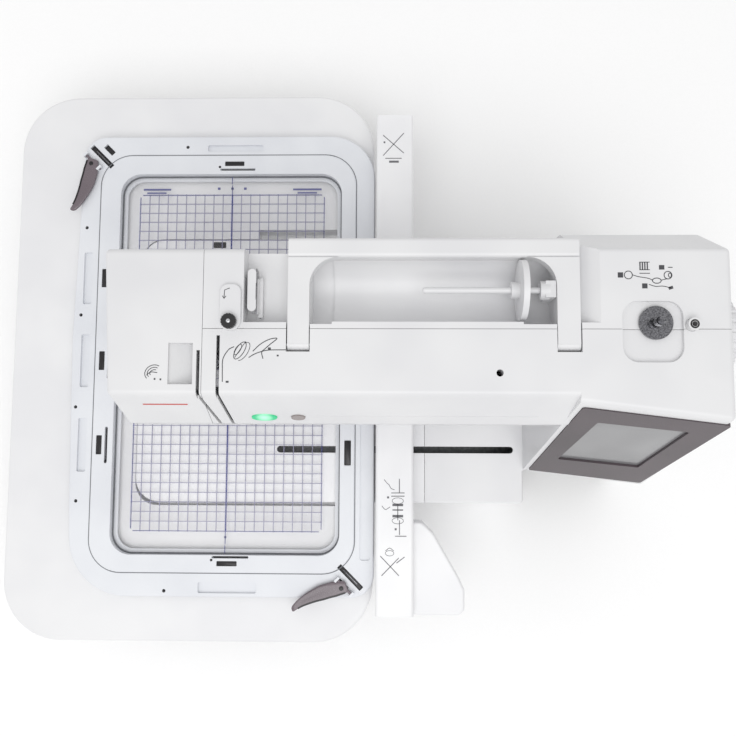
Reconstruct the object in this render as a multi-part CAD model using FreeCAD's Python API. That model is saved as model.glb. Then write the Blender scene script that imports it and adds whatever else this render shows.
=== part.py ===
import FreeCAD, Part
import math
import os

# Sewing machine with an embroidery hoop, as separate pieces.
# Millimetres. x runs to the right, y to the back, z up. The needle stands at x = y = 0 while
# the pieces are made; each piece is moved by `shift` as it is saved, so that the kept origin is
# under the middle of the whole machine, on the surface it stands on.

V = FreeCAD.Vector
shift = V(-115.5, 0, 0)

# Heights
foot_height = 3.0
plate_top = 6.0
bed_top = 108.0
table_height = 105.0
ring_base = 109.2
beam_base = 109.4
beam_top = 150.0
head_base = 158.0
arm_base = 216.0
arm_edge = 250.0
arm_top = 300.0

# Outlines seen from above
wall = 2.8
split_gap = 0.2
split_y = 6.6
bed_left, bed_front, bed_back = -98.0, -150.0, 132.0
bed_split = 208.0
base_right = 311.0
head_left = -65.0
head_split = 14.0
nose_right = 40.0
arm_front, arm_edge_y = -48.0, -71.0
arm_back = 75.0
tower_left, tower_left_top = 311.0, 327.0
tower_right, tower_right_top = 437.0, 453.6
tower_back, tower_back_top = 99.0, 74.0

# Screen panel: its top left corner, how far it is turned to the left, and how far it leans back
panel_corner = V(331.0, -57.3, 290.0)
panel_turn = math.radians(6.83)
panel_lean = math.radians(18.06)
panel_right = V(math.cos(panel_turn), -math.sin(panel_turn), 0)
panel_level = V(-math.sin(panel_turn), -math.cos(panel_turn), 0)
panel_down = panel_level * math.sin(panel_lean) - V(0, 0, math.cos(panel_lean))
panel_out = panel_level * math.cos(panel_lean) + V(0, 0, math.sin(panel_lean))

# Main shaft, lower shaft and motor lines (all along x)
shaft_y, shaft_z = 8.0, 248.0
lower_y, lower_z = 3.0, 70.0
motor_y, motor_z = -50.0, 150.0
shaft_radius, lower_radius, bar_radius = 6.0, 5.0, 3.5
running = 0.05

# Needle and foot
needle_stroke = 32.0
presser_y = 14.0
hook_y, hook_base = -21.0, 85.4

# Hoop, template and beam
field_x, field_y = 100.0, 180.0
ring_top = 120.5
template_base = 111.8
beam_left, beam_right = 157.0, 195.0
beam_front, beam_back = -258.0, 253.6
beam_slot_y = -94.5

os.makedirs("parts", exist_ok=True)


def save(name, shape):
    """Write one piece, or a group of like pieces, as parts/name.step."""
    placed = shape.copy()
    placed.translate(shift)
    placed.exportStep("parts/" + name + ".step")


def box(x0, x1, y0, y1, z0, z1):
    """Block between two x, two y and two z planes."""
    return Part.makeBox(x1 - x0, y1 - y0, z1 - z0, V(x0, y0, z0))


def rod(x, y, z, radius, length, along="z"):
    """Cylinder that starts at (x, y, z) and runs along one axis."""
    direction = {"x": V(1, 0, 0), "y": V(0, 1, 0), "z": V(0, 0, 1)}[along]
    return Part.makeCylinder(radius, length, V(x, y, z), direction)


def tube(x, y, z, outer, inner, length, along="z"):
    """Cylinder with a hole right through it."""
    return rod(x, y, z, outer, length, along).cut(rod(x, y, z, inner, length, along))


def join(shapes):
    """One solid from shapes that touch or overlap."""
    whole = shapes[0].fuse(shapes[1:]) if len(shapes) > 1 else shapes[0]
    return whole.removeSplitter()


def group(shapes):
    """Separate solids kept together as one piece."""
    return Part.makeCompound(shapes)


def level(z):
    """Outline points (x, y) laid at height z."""
    return lambda a, b: V(a, b, z)


def upright(x):
    """Outline points (y, z) stood in the plane at x."""
    return lambda a, b: V(x, a, b)


def endwise(y):
    """Outline points (x, z) stood in the plane at y."""
    return lambda a, b: V(a, y, b)


def on_panel(depth):
    """Outline points (across, down) on the screen panel, `depth` out from its face."""
    return lambda a, b: panel_corner + panel_right * a + panel_down * b + panel_out * depth


def outline(points, radii, place):
    """Face with straight sides and an arc of the given radius at each corner."""
    count = len(points)
    radii = radii if isinstance(radii, list) else [radii] * count
    starts, ends, arcs = [], [], []
    for index, (a, b) in enumerate(points):
        corner = V(a, b, 0)
        before = V(*points[index - 1], 0) - corner
        after = V(*points[(index + 1) % count], 0) - corner
        before.normalize()
        after.normalize()
        radius = radii[index]
        if radius == 0:
            starts.append(corner)
            ends.append(corner)
            arcs.append(None)
            continue
        half = before.getAngle(after) / 2
        reach = radius / math.tan(half)
        middle = before + after
        middle.normalize()
        starts.append(corner + before * reach)
        ends.append(corner + after * reach)
        arcs.append(corner + middle * (radius / math.sin(half) - radius))
    edges = []
    for index in range(count):
        if arcs[index] is not None:
            spots = [place(p.x, p.y) for p in (starts[index], arcs[index], ends[index])]
            edges.append(Part.Arc(*spots).toShape())
        following = starts[(index + 1) % count]
        if (following - ends[index]).Length > 1e-6:
            here, there = place(ends[index].x, ends[index].y), place(following.x, following.y)
            edges.append(Part.LineSegment(here, there).toShape())
    return Part.Face(Part.Wire(edges))


def inset(face, distance):
    """The same outline, smaller by `distance` all round."""
    return face.makeOffset2D(-distance)


def plate(x0, x1, y0, y1, z0, z1, radius):
    """Block with rounded upright edges."""
    points = [(x0, y0), (x1, y0), (x1, y1), (x0, y1)]
    return outline(points, radius, level(z0)).extrude(V(0, 0, z1 - z0))


def panel_block(points, radii, depth0, depth1):
    """Block that follows the screen panel between two depths."""
    return outline(points, radii, on_panel(depth0)).extrude(panel_out * (depth1 - depth0))


def fillet(shape, radius, chosen):
    """Round the edges for which chosen(edge, middle point) is true."""
    edges = [edge for edge in shape.Edges if chosen(edge, edge.CenterOfMass)]
    return shape.makeFillet(radius, edges)


def on_plane(value, wanted):
    return abs(value - wanted) < 0.05


def grown(x0, x1, y0, y1, z0, z1):
    """Block larger than the given one by a wall on every side but the top."""
    return box(x0 - wall, x1 + wall, y0 - wall, y1 + wall, z0 - wall, z1)


# ---------------------------------------------------------------- outer covers
head_points = [(-46, head_base), (-62, 168), (arm_edge_y, 192), (arm_edge_y, arm_edge),
               (arm_front, arm_top), (arm_back, arm_top), (arm_back, 214), (50, 172),
               (40, head_base)]
head_radii = [5, 8, 10, 6, 5, 5, 8, 12, 5]
arm_points = [(arm_edge_y, arm_base), (arm_edge_y, arm_edge), (arm_front, arm_top),
              (arm_back, arm_top), (arm_back, arm_base)]
arm_radii = [8, 6, 5, 5, 8]


def tower_body(z0, z1, skin):
    """Tower with raked sides, a front that leans back and an upper back cut off at a slant."""
    sides = []
    for z in (z0, z1):
        rise = (z - bed_top) / (arm_top - bed_top)
        sides.append((tower_left + (tower_left_top - tower_left) * rise + skin,
                      tower_right + (tower_right_top - tower_right) * rise - skin))
    section = [(sides[0][0], z0), (sides[0][1], z0), (sides[1][1], z1), (sides[1][0], z1)]
    body = outline(section, 0, endwise(-220)).extrude(V(0, 220 + tower_back - skin, 0))
    ahead = panel_block([(-90, -90), (250, -90), (250, 320), (-90, 320)], 0, -skin * 2.0, 200)
    out = skin * 0.894
    up = skin * 0.447
    corner = [(tower_back_top - out - 1, arm_top - up + 2), (tower_back - out, arm_edge - up),
              (tower_back + 19, arm_edge - up), (tower_back + 19, arm_top - up + 2)]
    slant = outline(corner, 0, upright(290)).extrude(V(200, 0, 0))
    return body.cut([ahead, slant])


arm_outer = outline(arm_points, arm_radii, upright(head_split)).extrude(V(316, 0, 0))
nose_outer = outline(head_points, head_radii, upright(head_split)).extrude(V(26, 0, 0))
tower_outer = tower_body(bed_top + split_gap, arm_top, 0)
tower_outer = fillet(tower_outer, 5.0, lambda edge, m: m.z > bed_top + 5
                     and (m.x > 430 or (on_plane(m.z, arm_top) and (m.y < 0 or m.y > 70))))
machine_outer = join([arm_outer, nose_outer, tower_outer])

arm_inner = inset(outline(arm_points, arm_radii, upright(nose_right - wall)), wall)
arm_inner = arm_inner.extrude(V(290, 0, 0))
nose_inner = inset(outline(head_points, head_radii, upright(head_split - 1)), wall)
nose_inner = nose_inner.extrude(V(nose_right - wall - head_split + 1, 0, 0))
tower_inner = tower_body(bed_top - 1, arm_top - wall, wall)
machine_inner = join([arm_inner, nose_inner, tower_inner])

# Hollows in the top of the arm: the spool trough, the handle's recess, the thread guides' step
trough_y, trough_z = 40.5, 291.0
trough_left, trough_right = 103.5, 309.0
trough_ends = [(trough_left, 122.0, 30.0), (122.0, 281.0, 28.0), (281.0, trough_right, 30.0)]
channels = [(84.0, 103.8), (308.4, 329.0)]
handle_y, handle_z = -6.0, 294.0


def trough(extra):
    """Half-round trough with deeper ends, larger by `extra` all round."""
    shapes = []
    for x0, x1, radius in trough_ends:
        r = radius + extra
        shapes.append(rod(x0 - extra, trough_y, trough_z, r, x1 - x0 + 2 * extra, "x"))
        shapes.append(box(x0 - extra, x1 + extra, trough_y - r, trough_y + r, trough_z, arm_top + 1))
    return shapes


pockets = trough(0)
pocket_walls = trough(wall)
for x0, x1 in channels:
    hollow = (x0, x1, -12.6, arm_back + 1, 288.3, arm_top + 1)
    pockets.append(box(*hollow))
    pocket_walls.append(grown(*hollow))
for hollow in ((84.0, 329.0, 66.3, tower_back, 284.0, arm_top + 1),
               (48.0, 84.7, 12.0, arm_back + 1, 279.0, arm_top + 1)):
    pockets.append(box(*hollow))
    pocket_walls.append(grown(*hollow))
ramp_points = [(328.3, 288.3), (346.0, arm_top + 1), (328.3, arm_top + 1)]
pockets.append(outline(ramp_points, 0, endwise(12.0)).extrude(V(0, 70, 0)))
ramp_wall = [(325.5, 285.5), (329.3, 285.5), (350.8, arm_top + 1), (325.5, arm_top + 1)]
pocket_walls.append(outline(ramp_wall, 0, endwise(12.0 - wall)).extrude(V(0, 70 + 2 * wall, 0)))
winder_x, winder_y, winder_floor = 390.0, 12.0, 296.0
pockets.append(plate(362, 412, -21, 30, winder_floor, arm_top + 1, 13))
pocket_walls.append(plate(362 - wall, 412 + wall, -21 - wall, 30 + wall, winder_floor - wall,
                          arm_top + 1, 15))
machine_inner = machine_inner.cut(pocket_walls)
covers = machine_outer.cut(machine_inner).cut(pockets)

# Holes right through the covers
stopper_x, stopper_y = 418.6, 10.0
pin_hole_x, pin_hole_y, pin_hole_radius = 261.0, -30.0, 3.0
slope_out = V(0, -50, 23)
slope_out.normalize()


def on_slope(x, z, depth):
    """Point on the arm's sloped face at height z, `depth` out from it."""
    y = arm_edge_y + (arm_front - arm_edge_y) * (z - arm_edge) / (arm_top - arm_edge)
    return V(x, y, z) + slope_out * depth


def sloped_oval(x, z, width, height, depth0, depth1):
    """Oval prism that stands square to the arm's sloped face."""
    base = Part.Ellipse(V(0, 0, 0), width / 2, height / 2).toShape()
    solid = Part.Face(Part.Wire([base])).extrude(V(0, 0, depth1 - depth0))
    turn = FreeCAD.Rotation(V(1, 0, 0), V(0, 1, 0), slope_out, "ZXY")
    solid.Placement = FreeCAD.Placement(on_slope(x, z, depth0), turn)
    return solid


def thread_slot(x_top, y_start, x_low):
    """Channel 2.8 wide: along the top, down the slope at a slant, then straight down."""
    half = 1.4
    along = box(x_top - half, x_top + half, arm_front - 4, y_start, 292, arm_top + 1)
    points = [(x_top - half, 299), (x_top + half, 299), (x_low + half, arm_edge - 1),
              (x_low + half, 226), (x_low - half, 226), (x_low - half, arm_edge - 1)]
    down = outline(points, 0, endwise(arm_edge_y - 3)).extrude(V(0, 27, 0))
    near_face = [(arm_edge_y - 4, 220), (arm_edge_y + wall + 2, 220),
                 (arm_edge_y + wall + 2, arm_edge), (arm_front + 4, 302), (arm_edge_y - 4, 302)]
    return [along, down.common(outline(near_face, 0, upright(-20)).extrude(V(80, 0, 0)))]


take_up_slot = thread_slot(11.0, -11.5, 21.5)
thread_path_slot = thread_slot(27.5, 1.0, 32.5)
button_x, cutter_x, button_z = 61.6, 91.0, 262.0
openings = take_up_slot + thread_path_slot
openings.append(sloped_oval(button_x, button_z, 22.6, 11.0, -8, 3))
openings.append(sloped_oval(cutter_x, button_z, 12.6, 9.0, -8, 3))
groove = box(107, 299, -80, -40, 263.2, 264.0)
slope_skin = [(arm_edge_y - 3, arm_edge), (arm_edge_y + 0.9, arm_edge),
              (arm_front + 0.9, arm_top), (arm_front - 3, arm_top)]
openings.append(groove.common(outline(slope_skin, 0, upright(100)).extrude(V(210, 0, 0))))
openings.append(rod(430, shaft_y, shaft_z, 12.0, 40, "x"))
openings.append(rod(stopper_x, stopper_y, 280, 5.4, 30))
openings.append(rod(pin_hole_x, pin_hole_y, 280, pin_hole_radius, 30))
openings.append(plate(winder_x - 4.3, winder_x + 10.6, winder_y - 4.3, winder_y + 4.3, 290, 297, 4.2))
openings.append(box(-30, 30, -32, 30, head_base - 3, head_base + 8))
openings.append(box(15, 27, 28, 80, 150, 205))
openings.append(rod(37.0, 12.0, 290, 3.2, 20))
handle_pins = [rod(82.2, handle_y, handle_z, 2.0, 23.8, "x"),
               rod(306.2, handle_y, handle_z, 2.0, 24.6, "x")]
openings += handle_pins

bezel_points = [(0, 0), (122.5, 0), (107.0, 184.0), (-8.0, 187.0)]
window_points = [(20.0, 29.0), (97.5, 25.5), (89.0, 135.5), (11.5, 140.0)]
bezel_seat = [(-0.3, -0.3), (122.8, -0.3), (107.3, 184.3), (-8.3, 187.3)]
openings.append(panel_block(bezel_seat, 3.2, -2.2, 12))
openings.append(panel_block(window_points, 2, -14, 12))
covers = covers.cut(openings)

pin_boss = tube(pin_hole_x, pin_hole_y, 284, 5.5, pin_hole_radius, arm_top - wall - 284)
front_half = box(head_split + split_gap, 480, -200, split_y - split_gap, 100, 320)
rear_half = box(head_split + split_gap, 480, split_y + split_gap, 200, 100, 320)
front_cover = join([covers.common(front_half), pin_boss])
rear_cover = covers.common(rear_half)
for row in range(7):
    rear_cover = rear_cover.cut(plate(345, 415, 90, 110, 140 + 9 * row, 144 + 9 * row, 1))
save("front_cover", front_cover)
save("rear_cover", rear_cover)

# Face cover over the needle end of the head
left_end = box(-160, head_left, -200, 200, 100, 400)
left_end.rotate(V(head_left, arm_front, arm_top), V(0, 0, 1), 2.6)
left_end.rotate(V(head_left, arm_front, arm_top), V(0, 1, 0), -3.0)
left_end_inner = left_end.copy()
left_end_inner.translate(V(wall, 0, 0))
face_outer = outline(head_points, head_radii, upright(-75))
face_outer = face_outer.extrude(V(75 + head_split - split_gap, 0, 0)).cut(left_end)
face_outer = fillet(face_outer, 4.0, lambda edge, m: m.x < -50 and edge.BoundBox.XLength < 12)
face_inner = inset(outline(head_points, head_radii, upright(-75)), wall).extrude(V(91, 0, 0))
face_inner = face_inner.cut(left_end_inner)
finger_points = [(-14, arm_top + 1), (-14, 296.5), (6.5, 285), (6.5, arm_top + 1)]
finger_recess = outline(finger_points, 0, endwise(-40)).extrude(V(0, 34.5, 0))
finger_wall = outline([(-16.8, arm_top + 1), (-16.8, 294), (9.3, 281.6), (9.3, arm_top + 1)], 0,
                      endwise(-42.8)).extrude(V(0, 40.1, 0))
face_cover = face_outer.cut(face_inner.cut(finger_wall)).cut([finger_recess] + openings[:4])
face_cover = face_cover.cut(box(-30, 30, -32, 30, head_base - 3, head_base + 8))
save("face_cover", face_cover)

# Bed: free arm on the left, base on the right with the tower's foot
bed_points = [(bed_left, bed_front), (bed_split - split_gap, bed_front),
              (bed_split - split_gap, bed_back), (bed_left, bed_back)]
bed_outer = outline(bed_points, [25, 0, 0, 25], level(plate_top)).extrude(V(0, 0, bed_top - plate_top))
bed_outer = fillet(bed_outer, 2.0, lambda edge, m: on_plane(m.z, bed_top) and m.x < bed_split - 1)
bed_inner_points = [(bed_left + wall, bed_front + wall), (bed_split + 1, bed_front + wall),
                    (bed_split + 1, bed_back - wall), (bed_left + wall, bed_back - wall)]
bed_inner = outline(bed_inner_points, [22, 0, 0, 22], level(plate_top - 1))
bed_inner = bed_inner.extrude(V(0, 0, bed_top - wall - plate_top + 1))
beam_slot = plate(52, 301, beam_slot_y - 3.5, beam_slot_y + 3.5, 100, 112, 3.4)
plate_seat = [-42.0, 42.0, -10.0, 30.0]
hatch_seat = [-24.0, 24.0, -50.0, -10.0]
plate_screws = [(-37.8, 10), (37.8, 10)]
bed_cuts = [beam_slot, plate(*plate_seat, 100, 112, 5), box(-20, 20, -14, -6, 100, 112),
            plate(*hatch_seat, 100, 112, 4), plate(29.5, 34.5, -44, -30, 100, 112, 2),
            plate(-20.4, -6.6, 122.6, 129.1, 100, 112, 0.8)]
bed_cover = bed_outer.cut(bed_inner).cut(bed_cuts)
ledge = plate(-46, 46, -54, 34, bed_top - wall - 2, bed_top - wall, 5)
ledge = ledge.cut([box(-36, 36, -7, 26, 90, 112), box(-20, 20, -46, -6, 90, 112),
                   plate(29.5, 34.5, -44, -30, 90, 112, 2)])
ledge = ledge.cut([rod(x, y, 90, 1.5, 20) for x, y in plate_screws])
save("bed_cover", join([bed_cover, ledge]))

foot_section = [(bed_split + split_gap, bed_front), (base_right, bed_front),
                (base_right, -113.9), (tower_right, -129.0), (tower_right, tower_back),
                (bed_split + split_gap, tower_back)]
base_outer = outline(foot_section, [0, 4, 3, 6, 5, 0], level(plate_top))
base_outer = base_outer.extrude(V(0, 0, bed_top - plate_top))
base_outer = fillet(base_outer, 2.0, lambda edge, m: on_plane(m.z, bed_top) and m.x < base_right + 1
                    and m.y < -112 and m.x > bed_split + 1)
base_inner_points = [(bed_split - 1, bed_front + wall), (base_right - wall, bed_front + wall),
                     (base_right - wall, -110.9), (tower_right - wall, -126.0),
                     (tower_right - wall, tower_back - wall), (bed_split - 1, tower_back - wall)]
base_inner = outline(base_inner_points, [0, 2, 3, 4, 3, 0], level(plate_top - 1))
base_inner = base_inner.extrude(V(0, 0, bed_top - wall - plate_top + 1))
tower_mouth = box(base_right + 6, tower_right - 6, -100, tower_back - 8, 100, 112)
inlet_z, switch_y = 36.0, 62.0
base_cuts = [beam_slot, tower_mouth, box(430, 440, 20, 46, inlet_z, inlet_z + 20),
             box(430, 440, switch_y - 8, switch_y + 8, inlet_z, inlet_z + 24),
             box(430, 440, -70, -55, 60, 67)]
save("base_cover", base_outer.cut(base_inner).cut(base_cuts))

# Bottom plate with its rubber feet
under_points = [(bed_left + 4, bed_front + 4), (base_right - 4, bed_front + 4), (base_right - 4, -112),
                (tower_right - 4, -124), (tower_right - 4, tower_back - 4), (bed_split - 4, tower_back - 4),
                (bed_split - 4, bed_back - 4), (bed_left + 4, bed_back - 4)]
under_radii = [22, 3, 3, 3, 3, 3, 3, 22]
screw_places = [(-60, -90), (-60, 50), (120, -90), (120, 50), (290, -90), (290, 50), (420, 40)]
bottom_plate = outline(under_points, under_radii, level(foot_height))
bottom_plate = bottom_plate.extrude(V(0, 0, plate_top - foot_height))
bottom_plate = bottom_plate.cut([rod(x, y, 0, 1.6, 10) for x, y in screw_places])
save("bottom_plate", bottom_plate)
foot_places = [(-70, -120), (-70, 104), (285, -124), (410, -95), (410, 72), (180, 104)]
save("rubber_feet", group([rod(x, y, 0, 11, foot_height) for x, y in foot_places]))

# ---------------------------------------------------------------- chassis and shafts
bush_walls = [56, 384]
upper_bore, lower_bore = 10.0, 9.0
chassis_pieces = [box(-85, 300, -112, 70, 14, 18), box(300, 430, -106, 70, 14, 18),
                  box(-80, -70, -100, 60, plate_top, 14),
                  box(180, 190, -100, 60, plate_top, 14), box(400, 410, -90, 60, plate_top, 14),
                  box(330, 384, 22, 84, 18, 222), box(56, 390, -24, 62, 222, 226),
                  box(56, 62, -24, 62, 226, 276), box(384, 390, -84, 62, 112, 182),
                  box(384, 390, -40, 62, 182, 262),
                  box(-14, 62, -10, 24, 271, 276), box(-14, -11, -10, 24, 172, 276),
                  box(-14, 13.5, -10, 24, 172, 180), box(40, 48, -12, 18, 18, 86),
                  box(384, 390, -12, 62, 18, 112), box(14, 20, -112, -76, 18, 87),
                  box(318, 324, -110, -76, 18, 87), box(-14, 14, hook_y - 10, hook_y + 10, 48, 56),
                  box(-14, -9, hook_y - 10, hook_y + 10, 18, 48), box(9, 14, hook_y - 10, hook_y + 10, 18, 48)]
chassis_pieces += [rod(x, y, plate_top, 5, 9) for x, y in screw_places]
chassis = join(chassis_pieces)
rail_places = [(-108, 82), (-81, 82)]
chassis_bores = [rod(50, shaft_y, shaft_z, upper_bore, 350, "x"),
                 rod(35, lower_y, lower_z, lower_bore, 360, "x"),
                 rod(380, motor_y, motor_z, 12, 14, "x"), rod(0, hook_y, 40, 6, 20),
                 rod(0, 0, 165, 5.5, 120), rod(0, presser_y, 165, 5.5, 120)]
chassis_bores += [rod(10, y, z, 3, 320, "x") for y, z in rail_places]
chassis_bores += [rod(x, y, 0, 1.6, 13) for x, y in screw_places]
chassis = chassis.cut(chassis_bores)
save("chassis", chassis)

bushes = [tube(x - 2, shaft_y, shaft_z, upper_bore, shaft_radius + running, 10, "x") for x in bush_walls]
bushes += [tube(x, lower_y, lower_z, lower_bore, lower_radius + running, 8, "x") for x in (40, 383)]
bushes += [tube(0, y, z, 5.5, bar_radius + running, length) for y in (0, presser_y)
           for z, length in ((172, 8), (271, 5))]
bushes.append(tube(0, hook_y, 46, 6, 4 + running, 10))
save("shaft_bushes", group(bushes))

upper_shaft = rod(28, shaft_y, shaft_z, shaft_radius, 438, "x")
crank = rod(22, shaft_y, shaft_z, 18, 7, "x").cut(rod(28, shaft_y, shaft_z, shaft_radius, 1.2, "x"))
for side in (-1, 1):
    shoulder_y = shaft_y + side * 14
    crank = crank.cut(box(21, 30, shoulder_y - 6, shoulder_y + 6, shaft_z + 9, shaft_z + 20))
crank = join([crank, rod(19.5, shaft_y, shaft_z + needle_stroke / 2 - 2, 3, 4, "x")])


def pulley(x, y, z, radius, width, bore):
    """Flat belt pulley with a flange at each side."""
    body = rod(x, y, z, radius, width, "x")
    flanges = [rod(x + place, y, z, radius + 1.6, 1, "x") for place in (0, width - 1)]
    return join([body] + flanges).cut(rod(x - 1, y, z, bore, width + 2, "x"))


def belt(x, ends, width, thickness):
    """Flat belt round two pulleys: straight runs and half turns, clear of the pulleys by 0.3."""
    (ay, az, ar), (by, bz, br) = ends
    span = math.hypot(by - ay, bz - az)
    lean = math.asin((ar - br) / span)
    heading = math.atan2(bz - az, by - ay)

    def loop(extra):
        discs = [rod(x, ay, az, ar + extra, width, "x"), rod(x, by, bz, br + extra, width, "x")]
        corners = []
        for side in (1, -1):
            angle = heading + side * (math.pi / 2 - lean)
            pair = [(ay + (ar + extra) * math.cos(angle), az + (ar + extra) * math.sin(angle)),
                    (by + (br + extra) * math.cos(angle), bz + (br + extra) * math.sin(angle))]
            corners += pair if side == 1 else pair[::-1]
        return join(discs + [outline(corners, 0, upright(x)).extrude(V(width, 0, 0))])

    return loop(0.3 + thickness).cut(loop(0.3))


drive_radius, motor_pulley_radius, timing_radius = 27.0, 9.0, 14.0
pulleys = [pulley(396, shaft_y, shaft_z, drive_radius, 12, shaft_radius),
           pulley(414, shaft_y, shaft_z, timing_radius, 10, shaft_radius)]
save("upper_shaft", group([upper_shaft, crank] + pulleys))
drive_ends = [(shaft_y, shaft_z, drive_radius), (motor_y, motor_z, motor_pulley_radius)]
timing_ends = [(shaft_y, shaft_z, timing_radius), (lower_y, lower_z, timing_radius)]
belts = [belt(397.5, drive_ends, 9, 1.2), belt(415.5, timing_ends, 7, 1.2)]
save("motor_pulley", join([pulley(396, motor_y, motor_z, motor_pulley_radius, 12, 4),
                           rod(391, motor_y, motor_z, 4, 19, "x")]))
motor = rod(332, motor_y, motor_z, 28, 51.8, "x").cut(rod(376, motor_y, motor_z, 5, 9, "x"))
motor = join([motor, tube(383, motor_y, motor_z, 12, 5, 6, "x")])
lower_shaft = join([rod(-8, lower_y, lower_z, lower_radius, 432, "x"),
                    rod(-7, lower_y, lower_z, 15.85, 14, "x")])
save("lower_shaft", group([lower_shaft, pulley(414, lower_y, lower_z, timing_radius, 10, lower_radius)]))

# Hand wheel on the end of the main shaft
wheel = rod(452.7, shaft_y, shaft_z, 33, 13.3, "x").cut(rod(458, shaft_y, shaft_z, 27, 9, "x"))
wheel = join([wheel, rod(443, shaft_y, shaft_z, 10, 24, "x")])
wheel = wheel.cut(rod(440, shaft_y, shaft_z, shaft_radius, 26, "x"))
for step in range(24):
    angle = 2 * math.pi * step / 24
    groove_y, groove_z = shaft_y + 34 * math.cos(angle), shaft_z + 34 * math.sin(angle)
    wheel = wheel.cut(rod(452, groove_y, groove_z, 2.2, 15, "x"))
save("hand_wheel", wheel)

# ---------------------------------------------------------------- needle bar, foot and take-up
save("needle_bar", rod(0, 0, 168, bar_radius, 112))
yoke = join([box(-6, 15.5, -5.5, 5.5, 236, 250), box(15.5, 19, -16, 30, 244, 269)])
yoke = yoke.cut(rod(0, 0, 230, bar_radius, 30))
slot_points = [(-11, 258), (25, 258), (25, 266), (-11, 266)]
yoke = yoke.cut(outline(slot_points, 3.9, upright(14)).extrude(V(6, 0, 0)))
save("needle_bar_yoke", yoke)
clamp = rod(0, 0, 158, 5.5, 12).cut([rod(0, 0, 168, bar_radius, 3), rod(0, 0, 157, 1.0, 12)])
clamp = clamp.cut(rod(0, -8, 163, 1.6, 8, "y"))
clamp_screw = join([rod(0, -5.4, 163, 1.5, 4.3, "y"), rod(0, -12, 163, 4, 6.4, "y")])
save("needle_clamp", group([clamp, clamp_screw]))
needle_tip = 126.0
save("needle", join([rod(0, 0, 145, 1.0, 20), rod(0, 0, 134, 0.55, 12),
                     Part.makeCone(0.15, 0.55, 8, V(0, 0, needle_tip))]))

take_up_y, take_up_z = -16.0, 238.0
take_up_points = [(-3.4, 0), (3.4, 0), (1.9, 41), (1.9, 46), (-1.9, 46), (-1.9, 41)]
take_up = outline(take_up_points, 0, lambda a, b: V(9.9, a, b)).extrude(V(2.2, 0, 0))
take_up = join([take_up, rod(9.9, 0, 46, 3.6, 2.2, "x"), rod(8.0, 0, 0, 4.6, 5.4, "x")])
take_up = take_up.cut([rod(5, 0, 46, 1.6, 10, "x"), rod(5, 0, 0, 2.05, 12, "x")])
take_up.rotate(V(0, 0, 0), V(1, 0, 0), 15)
take_up.translate(V(0, take_up_y, take_up_z))
save("take_up_lever", take_up)
pivot_pins = [join([rod(-12, take_up_y, take_up_z, 2.0, 25.4, "x"),
                    box(-14, -10.9, take_up_y - 4, -10, take_up_z - 4, take_up_z + 4)])]

save("presser_bar", rod(0, presser_y, 150, bar_radius, 112))
foot_plate = outline([(-9, -8), (9, -8), (9, 8), (-9, 8)], 7.5, level(121.0)).extrude(V(0, 0, 1.6))
foot_post = join([foot_plate, box(-3, 3, 4, 17.5, 122.2, 125), box(-3, 3, 10.5, 17.5, 122.2, 146),
                  rod(0, presser_y, 142, 6, 14)])
save("embroidery_foot", foot_post.cut([rod(0, 0, 118, 3.2, 8), rod(0, presser_y, 150, bar_radius, 8)]))
lifter = join([rod(17, 34, 186, 6, 8, "x"), box(17, 25, 34, 74, 183, 187), rod(17, 74, 185, 3.6, 8, "x")])
lifter.rotate(V(0, 34, 186), V(1, 0, 0), -20)
save("presser_lifter", lifter.cut(rod(16, 34, 186, 2.55, 10, "x")))
pivot_pins.append(join([rod(-8, 34, 186, 2.5, 36, "x"), box(-8, -2, 24, 38, 176, 191)]))

# ---------------------------------------------------------------- needle plate, hook and bobbin
needle_plate = plate(plate_seat[0] + 0.2, plate_seat[1] - 0.2, plate_seat[2] + 0.2, plate_seat[3] - 0.2,
                     bed_top - wall, bed_top, 4.8)
needle_plate = needle_plate.cut([rod(0, 0, 100, 1.6, 12)] + [rod(x, y, 100, 1.6, 12) for x, y in plate_screws]
                                + [rod(x, y, bed_top - 1.2, 3.2, 2) for x, y in plate_screws])
save("needle_plate", needle_plate)
screws = [join([rod(x, y, 103, 1.5, 4.5), rod(x, y, bed_top - 1.1, 3.0, 1.0)]).cut(
    box(x - 3, x + 3, y - 0.4, y + 0.4, bed_top - 0.7, bed_top)) for x, y in plate_screws]
hatch = plate(hatch_seat[0] + 0.3, hatch_seat[1] - 0.3, hatch_seat[2] + 0.3, hatch_seat[3] - 0.3,
              bed_top - 2.4, bed_top, 3.6)
save("hook_cover", hatch)
release = join([plate(30.5, 33.5, -42, -32, bed_top - 3.4, bed_top + 0.6, 1), box(28, 36, -44, -30, 98.6, 102.8),
                box(31, 33, -41, -33, 102, 106)])
save("hook_cover_release", release)

hook = join([rod(0, hook_y, hook_base, 17, 17), rod(0, hook_y, 47, 4, hook_base - 46)])
hook = hook.cut(rod(0, hook_y, hook_base + 2, 15.2, 20))
hook = join([hook, rod(0, hook_y, 62, 7.8, 16)])
save("rotary_hook", hook)
holder = rod(0, hook_y, hook_base + 3, 14.6, 16).cut(rod(0, hook_y, hook_base + 4.5, 11.6, 16))
save("bobbin_holder", join([holder, rod(0, hook_y, hook_base + 4, 2.4, 12)]))
bobbin = rod(0, hook_y, hook_base + 5, 10.8, 11).cut(tube(0, hook_y, hook_base + 6, 12, 4.6, 9))
save("bobbin", bobbin.cut(rod(0, hook_y, hook_base + 4, 2.45, 14)))

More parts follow.
